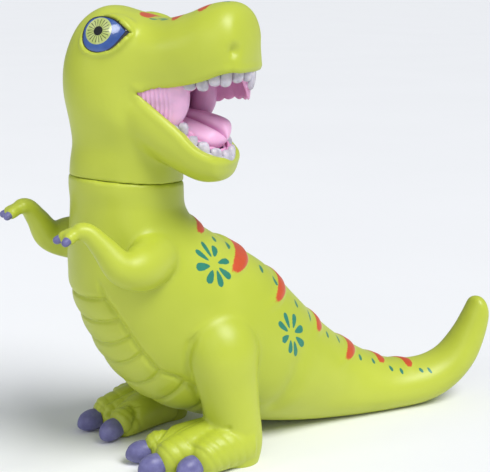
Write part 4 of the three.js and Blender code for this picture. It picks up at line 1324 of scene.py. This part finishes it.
def eye_paint():
    """Glossy blue with a pale iris, fine lines round it, a pupil and a black rim."""
    sh = Shader("eye_paint")
    place = sh.add("ShaderNodeSeparateXYZ", Vector=sh.attribute("place", "Vector"))
    x = sh.math("MULTIPLY", sh.math("SUBTRACT", place.outputs[0], IRIS_AT[0]), 1 / IRIS_STRETCH)
    y = sh.math("SUBTRACT", place.outputs[1], IRIS_AT[1])
    radius = sh.math("SQRT", sh.math("ADD", sh.math("MULTIPLY", x, x), sh.math("MULTIPLY", y, y)))
    turn = sh.math("MULTIPLY_ADD", sh.math("ARCTAN2", y, x), IRIS_LINES, sh.ragged(230.0, 2.0, 4.4))
    lines = sh.math("MULTIPLY", sh.ramp(sh.math("SINE", turn), 0.55, 0.9), sh.ramp(radius, 6.9, 6.2))
    iris = sh.mix(lines, sh.mottled(IRIS_GREENS, 150.0, 3.0), IRIS_LINE)
    colour = sh.mottled(EYE_BLUES, 70.0)
    for size, inside in ((IRIS_RADIUS, iris), (PUPIL_RADIUS, PUPIL_BLACK)):
        colour = sh.mix(sh.ramp(radius, size + SOFT_EDGE, size - SOFT_EDGE), colour, inside)
    rim = sh.math("ADD", sh.attribute("edge"), sh.ragged(300.0, 2.0, 0.3))
    colour = sh.mix(sh.ramp(rim, 0.75, 0.4), colour, RIM_BLACK)
    sh.set(Base_Color=colour, Roughness=0.16, Coat_Weight=0.5, Coat_Roughness=0.06)
    return sh.material


def plug_plastic():
    sh = Shader("plug_plastic")
    sh.set(Base_Color=sh.mix(sh.noise(120.0, 4.0), *PLUG_GREYS), Roughness=0.5)
    sh.bump(600.0, 0.2, 0.0002)
    return sh.material


def floor_paint():
    sh = Shader("floor_paint")
    sh.set(Base_Color=sh.mix(sh.noise(3.0), *FLOOR_WHITES), Roughness=0.9, Specular_IOR_Level=0.2)
    return sh.material


# Assembly
def add_piece(obj, body, slot, material, *nodes):
    obj.data.materials.clear()
    obj.data.materials.append(material)
    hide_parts(*nodes)
    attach(obj, body)


claw_material = claw_paint()
add_piece(body_piece(), "body", "vinyl", painted_vinyl("body_vinyl"), "body_shell")
for side, mirror in (("left", 1), ("right", -1)):
    for place, toe in TOES.items():
        points, faces = skin(claw_rings(toe) * np.array([1, mirror, 1]))
        points[:, 2] = np.maximum(points[:, 2], CLAW_FLOOR)
        claw = finish_object(f"toe_claw_skin_{side}_{place}", points, faces)
        add_piece(claw, "body", "claw", claw_material, f"toe_claw_{side}_{place}")
    for number, tip in enumerate(FINGER_TIPS, 1):
        points, faces = skin(nail_rings(tip) * np.array([1, mirror, 1]))
        nail = finish_object(f"nail_skin_{side}_{number}", points, faces)
        add_piece(nail, "body", "claw", claw_material, f"finger_claw_{side}_{number}")

add_piece(head_piece(), "head", "vinyl", painted_vinyl("head_vinyl", mouth=True), "head_shell")
eye_material = eye_paint()
add_piece(eye_piece("eye_dome_right", 1), "head", "eye", eye_material, "eye_right")
add_piece(eye_piece("eye_dome_left", -1), "head", "eye", eye_material, "eye_left")
tooth_material = tooth_paint()
upper_row = tooth_row("upper_row", UPPER_ARCH, UPPER_LIP, -1, UPPER_HEIGHT, FAR_HANG)
lower_row = tooth_row("lower_row", LOWER_ARCH, LOWER_LIP, 1, LOWER_HEIGHT)
add_piece(upper_row, "head", "tooth", tooth_material, "upper_teeth")
add_piece(lower_row, "head", "tooth", tooth_material, "lower_teeth")
add_piece(lining_piece(), "head", "mouth", mouth_paint(), "mouth_lining")
add_piece(tongue_piece(), "head", "tongue", tongue_paint(), "tongue")
add_piece(plug_piece(), "head", "plug", plug_plastic(), "neck_plug")

# Floor, light and camera; lengths in metres from here on
FLOOR_SIDE = 30
WORLD_COLOUR, WORLD_STRENGTH = (0.78, 0.83, 0.90), 0.37
LIT_POINT = (-0.02, 0.0, 0.13)
TARGET = Vector(to_scene((-6.98, -12.04, 130)))
AZIMUTH, ELEVATION, DISTANCE = math.radians(-31), math.radians(12), 0.760
LENS, SENSOR = 90.07, 36


def facing(direction):
    return Vector(direction).to_track_quat("Z", "Y").to_euler()


def lamp(name, kind, at, target, energy, **settings):
    """A lamp that shines from a place at a target; a sun only takes the direction."""
    data = bpy.data.lights.new(name, kind)
    data.energy = energy
    for key, value in settings.items():
        setattr(data, key, value)
    obj = link(bpy.data.objects.new(name, data))
    obj.location = at
    obj.rotation_euler = facing(Vector(at) - Vector(target))


floor = mesh_object("floor", prism(SQUARE * FLOOR_SIDE, [0])[0], [(0, 1, 2, 3)])
floor.data.materials.append(floor_paint())

world = bpy.context.scene.world or bpy.data.worlds.new("world")
bpy.context.scene.world = world
world.use_nodes = True
backdrop = world.node_tree.nodes["Background"]
backdrop.inputs["Color"].default_value = (*WORLD_COLOUR, 1)
backdrop.inputs["Strength"].default_value = WORLD_STRENGTH

lamp("key", "SUN", (0.2, -0.66, 0.92), (0, 0, 0), 2.8, angle=math.radians(32))
lamp("fill", "AREA", (-1.6, -1.6, 1.2), LIT_POINT, 8, shape="DISK", size=1.6)
lamp("glint", "AREA", (-1.56, 0.03, 0.95), LIT_POINT, 2.6, shape="DISK", size=0.32)

level = math.cos(ELEVATION)
away = Vector((math.sin(AZIMUTH) * level, -math.cos(AZIMUTH) * level, math.sin(ELEVATION)))
camera_data = bpy.data.cameras.new("camera")
camera_data.lens = LENS
camera_data.sensor_width = SENSOR
camera = link(bpy.data.objects.new("camera", camera_data))
camera.location = TARGET + away * DISTANCE
camera.rotation_euler = facing(away)
bpy.context.scene.camera = camera
bpy.context.scene.view_settings.view_transform = "Standard"
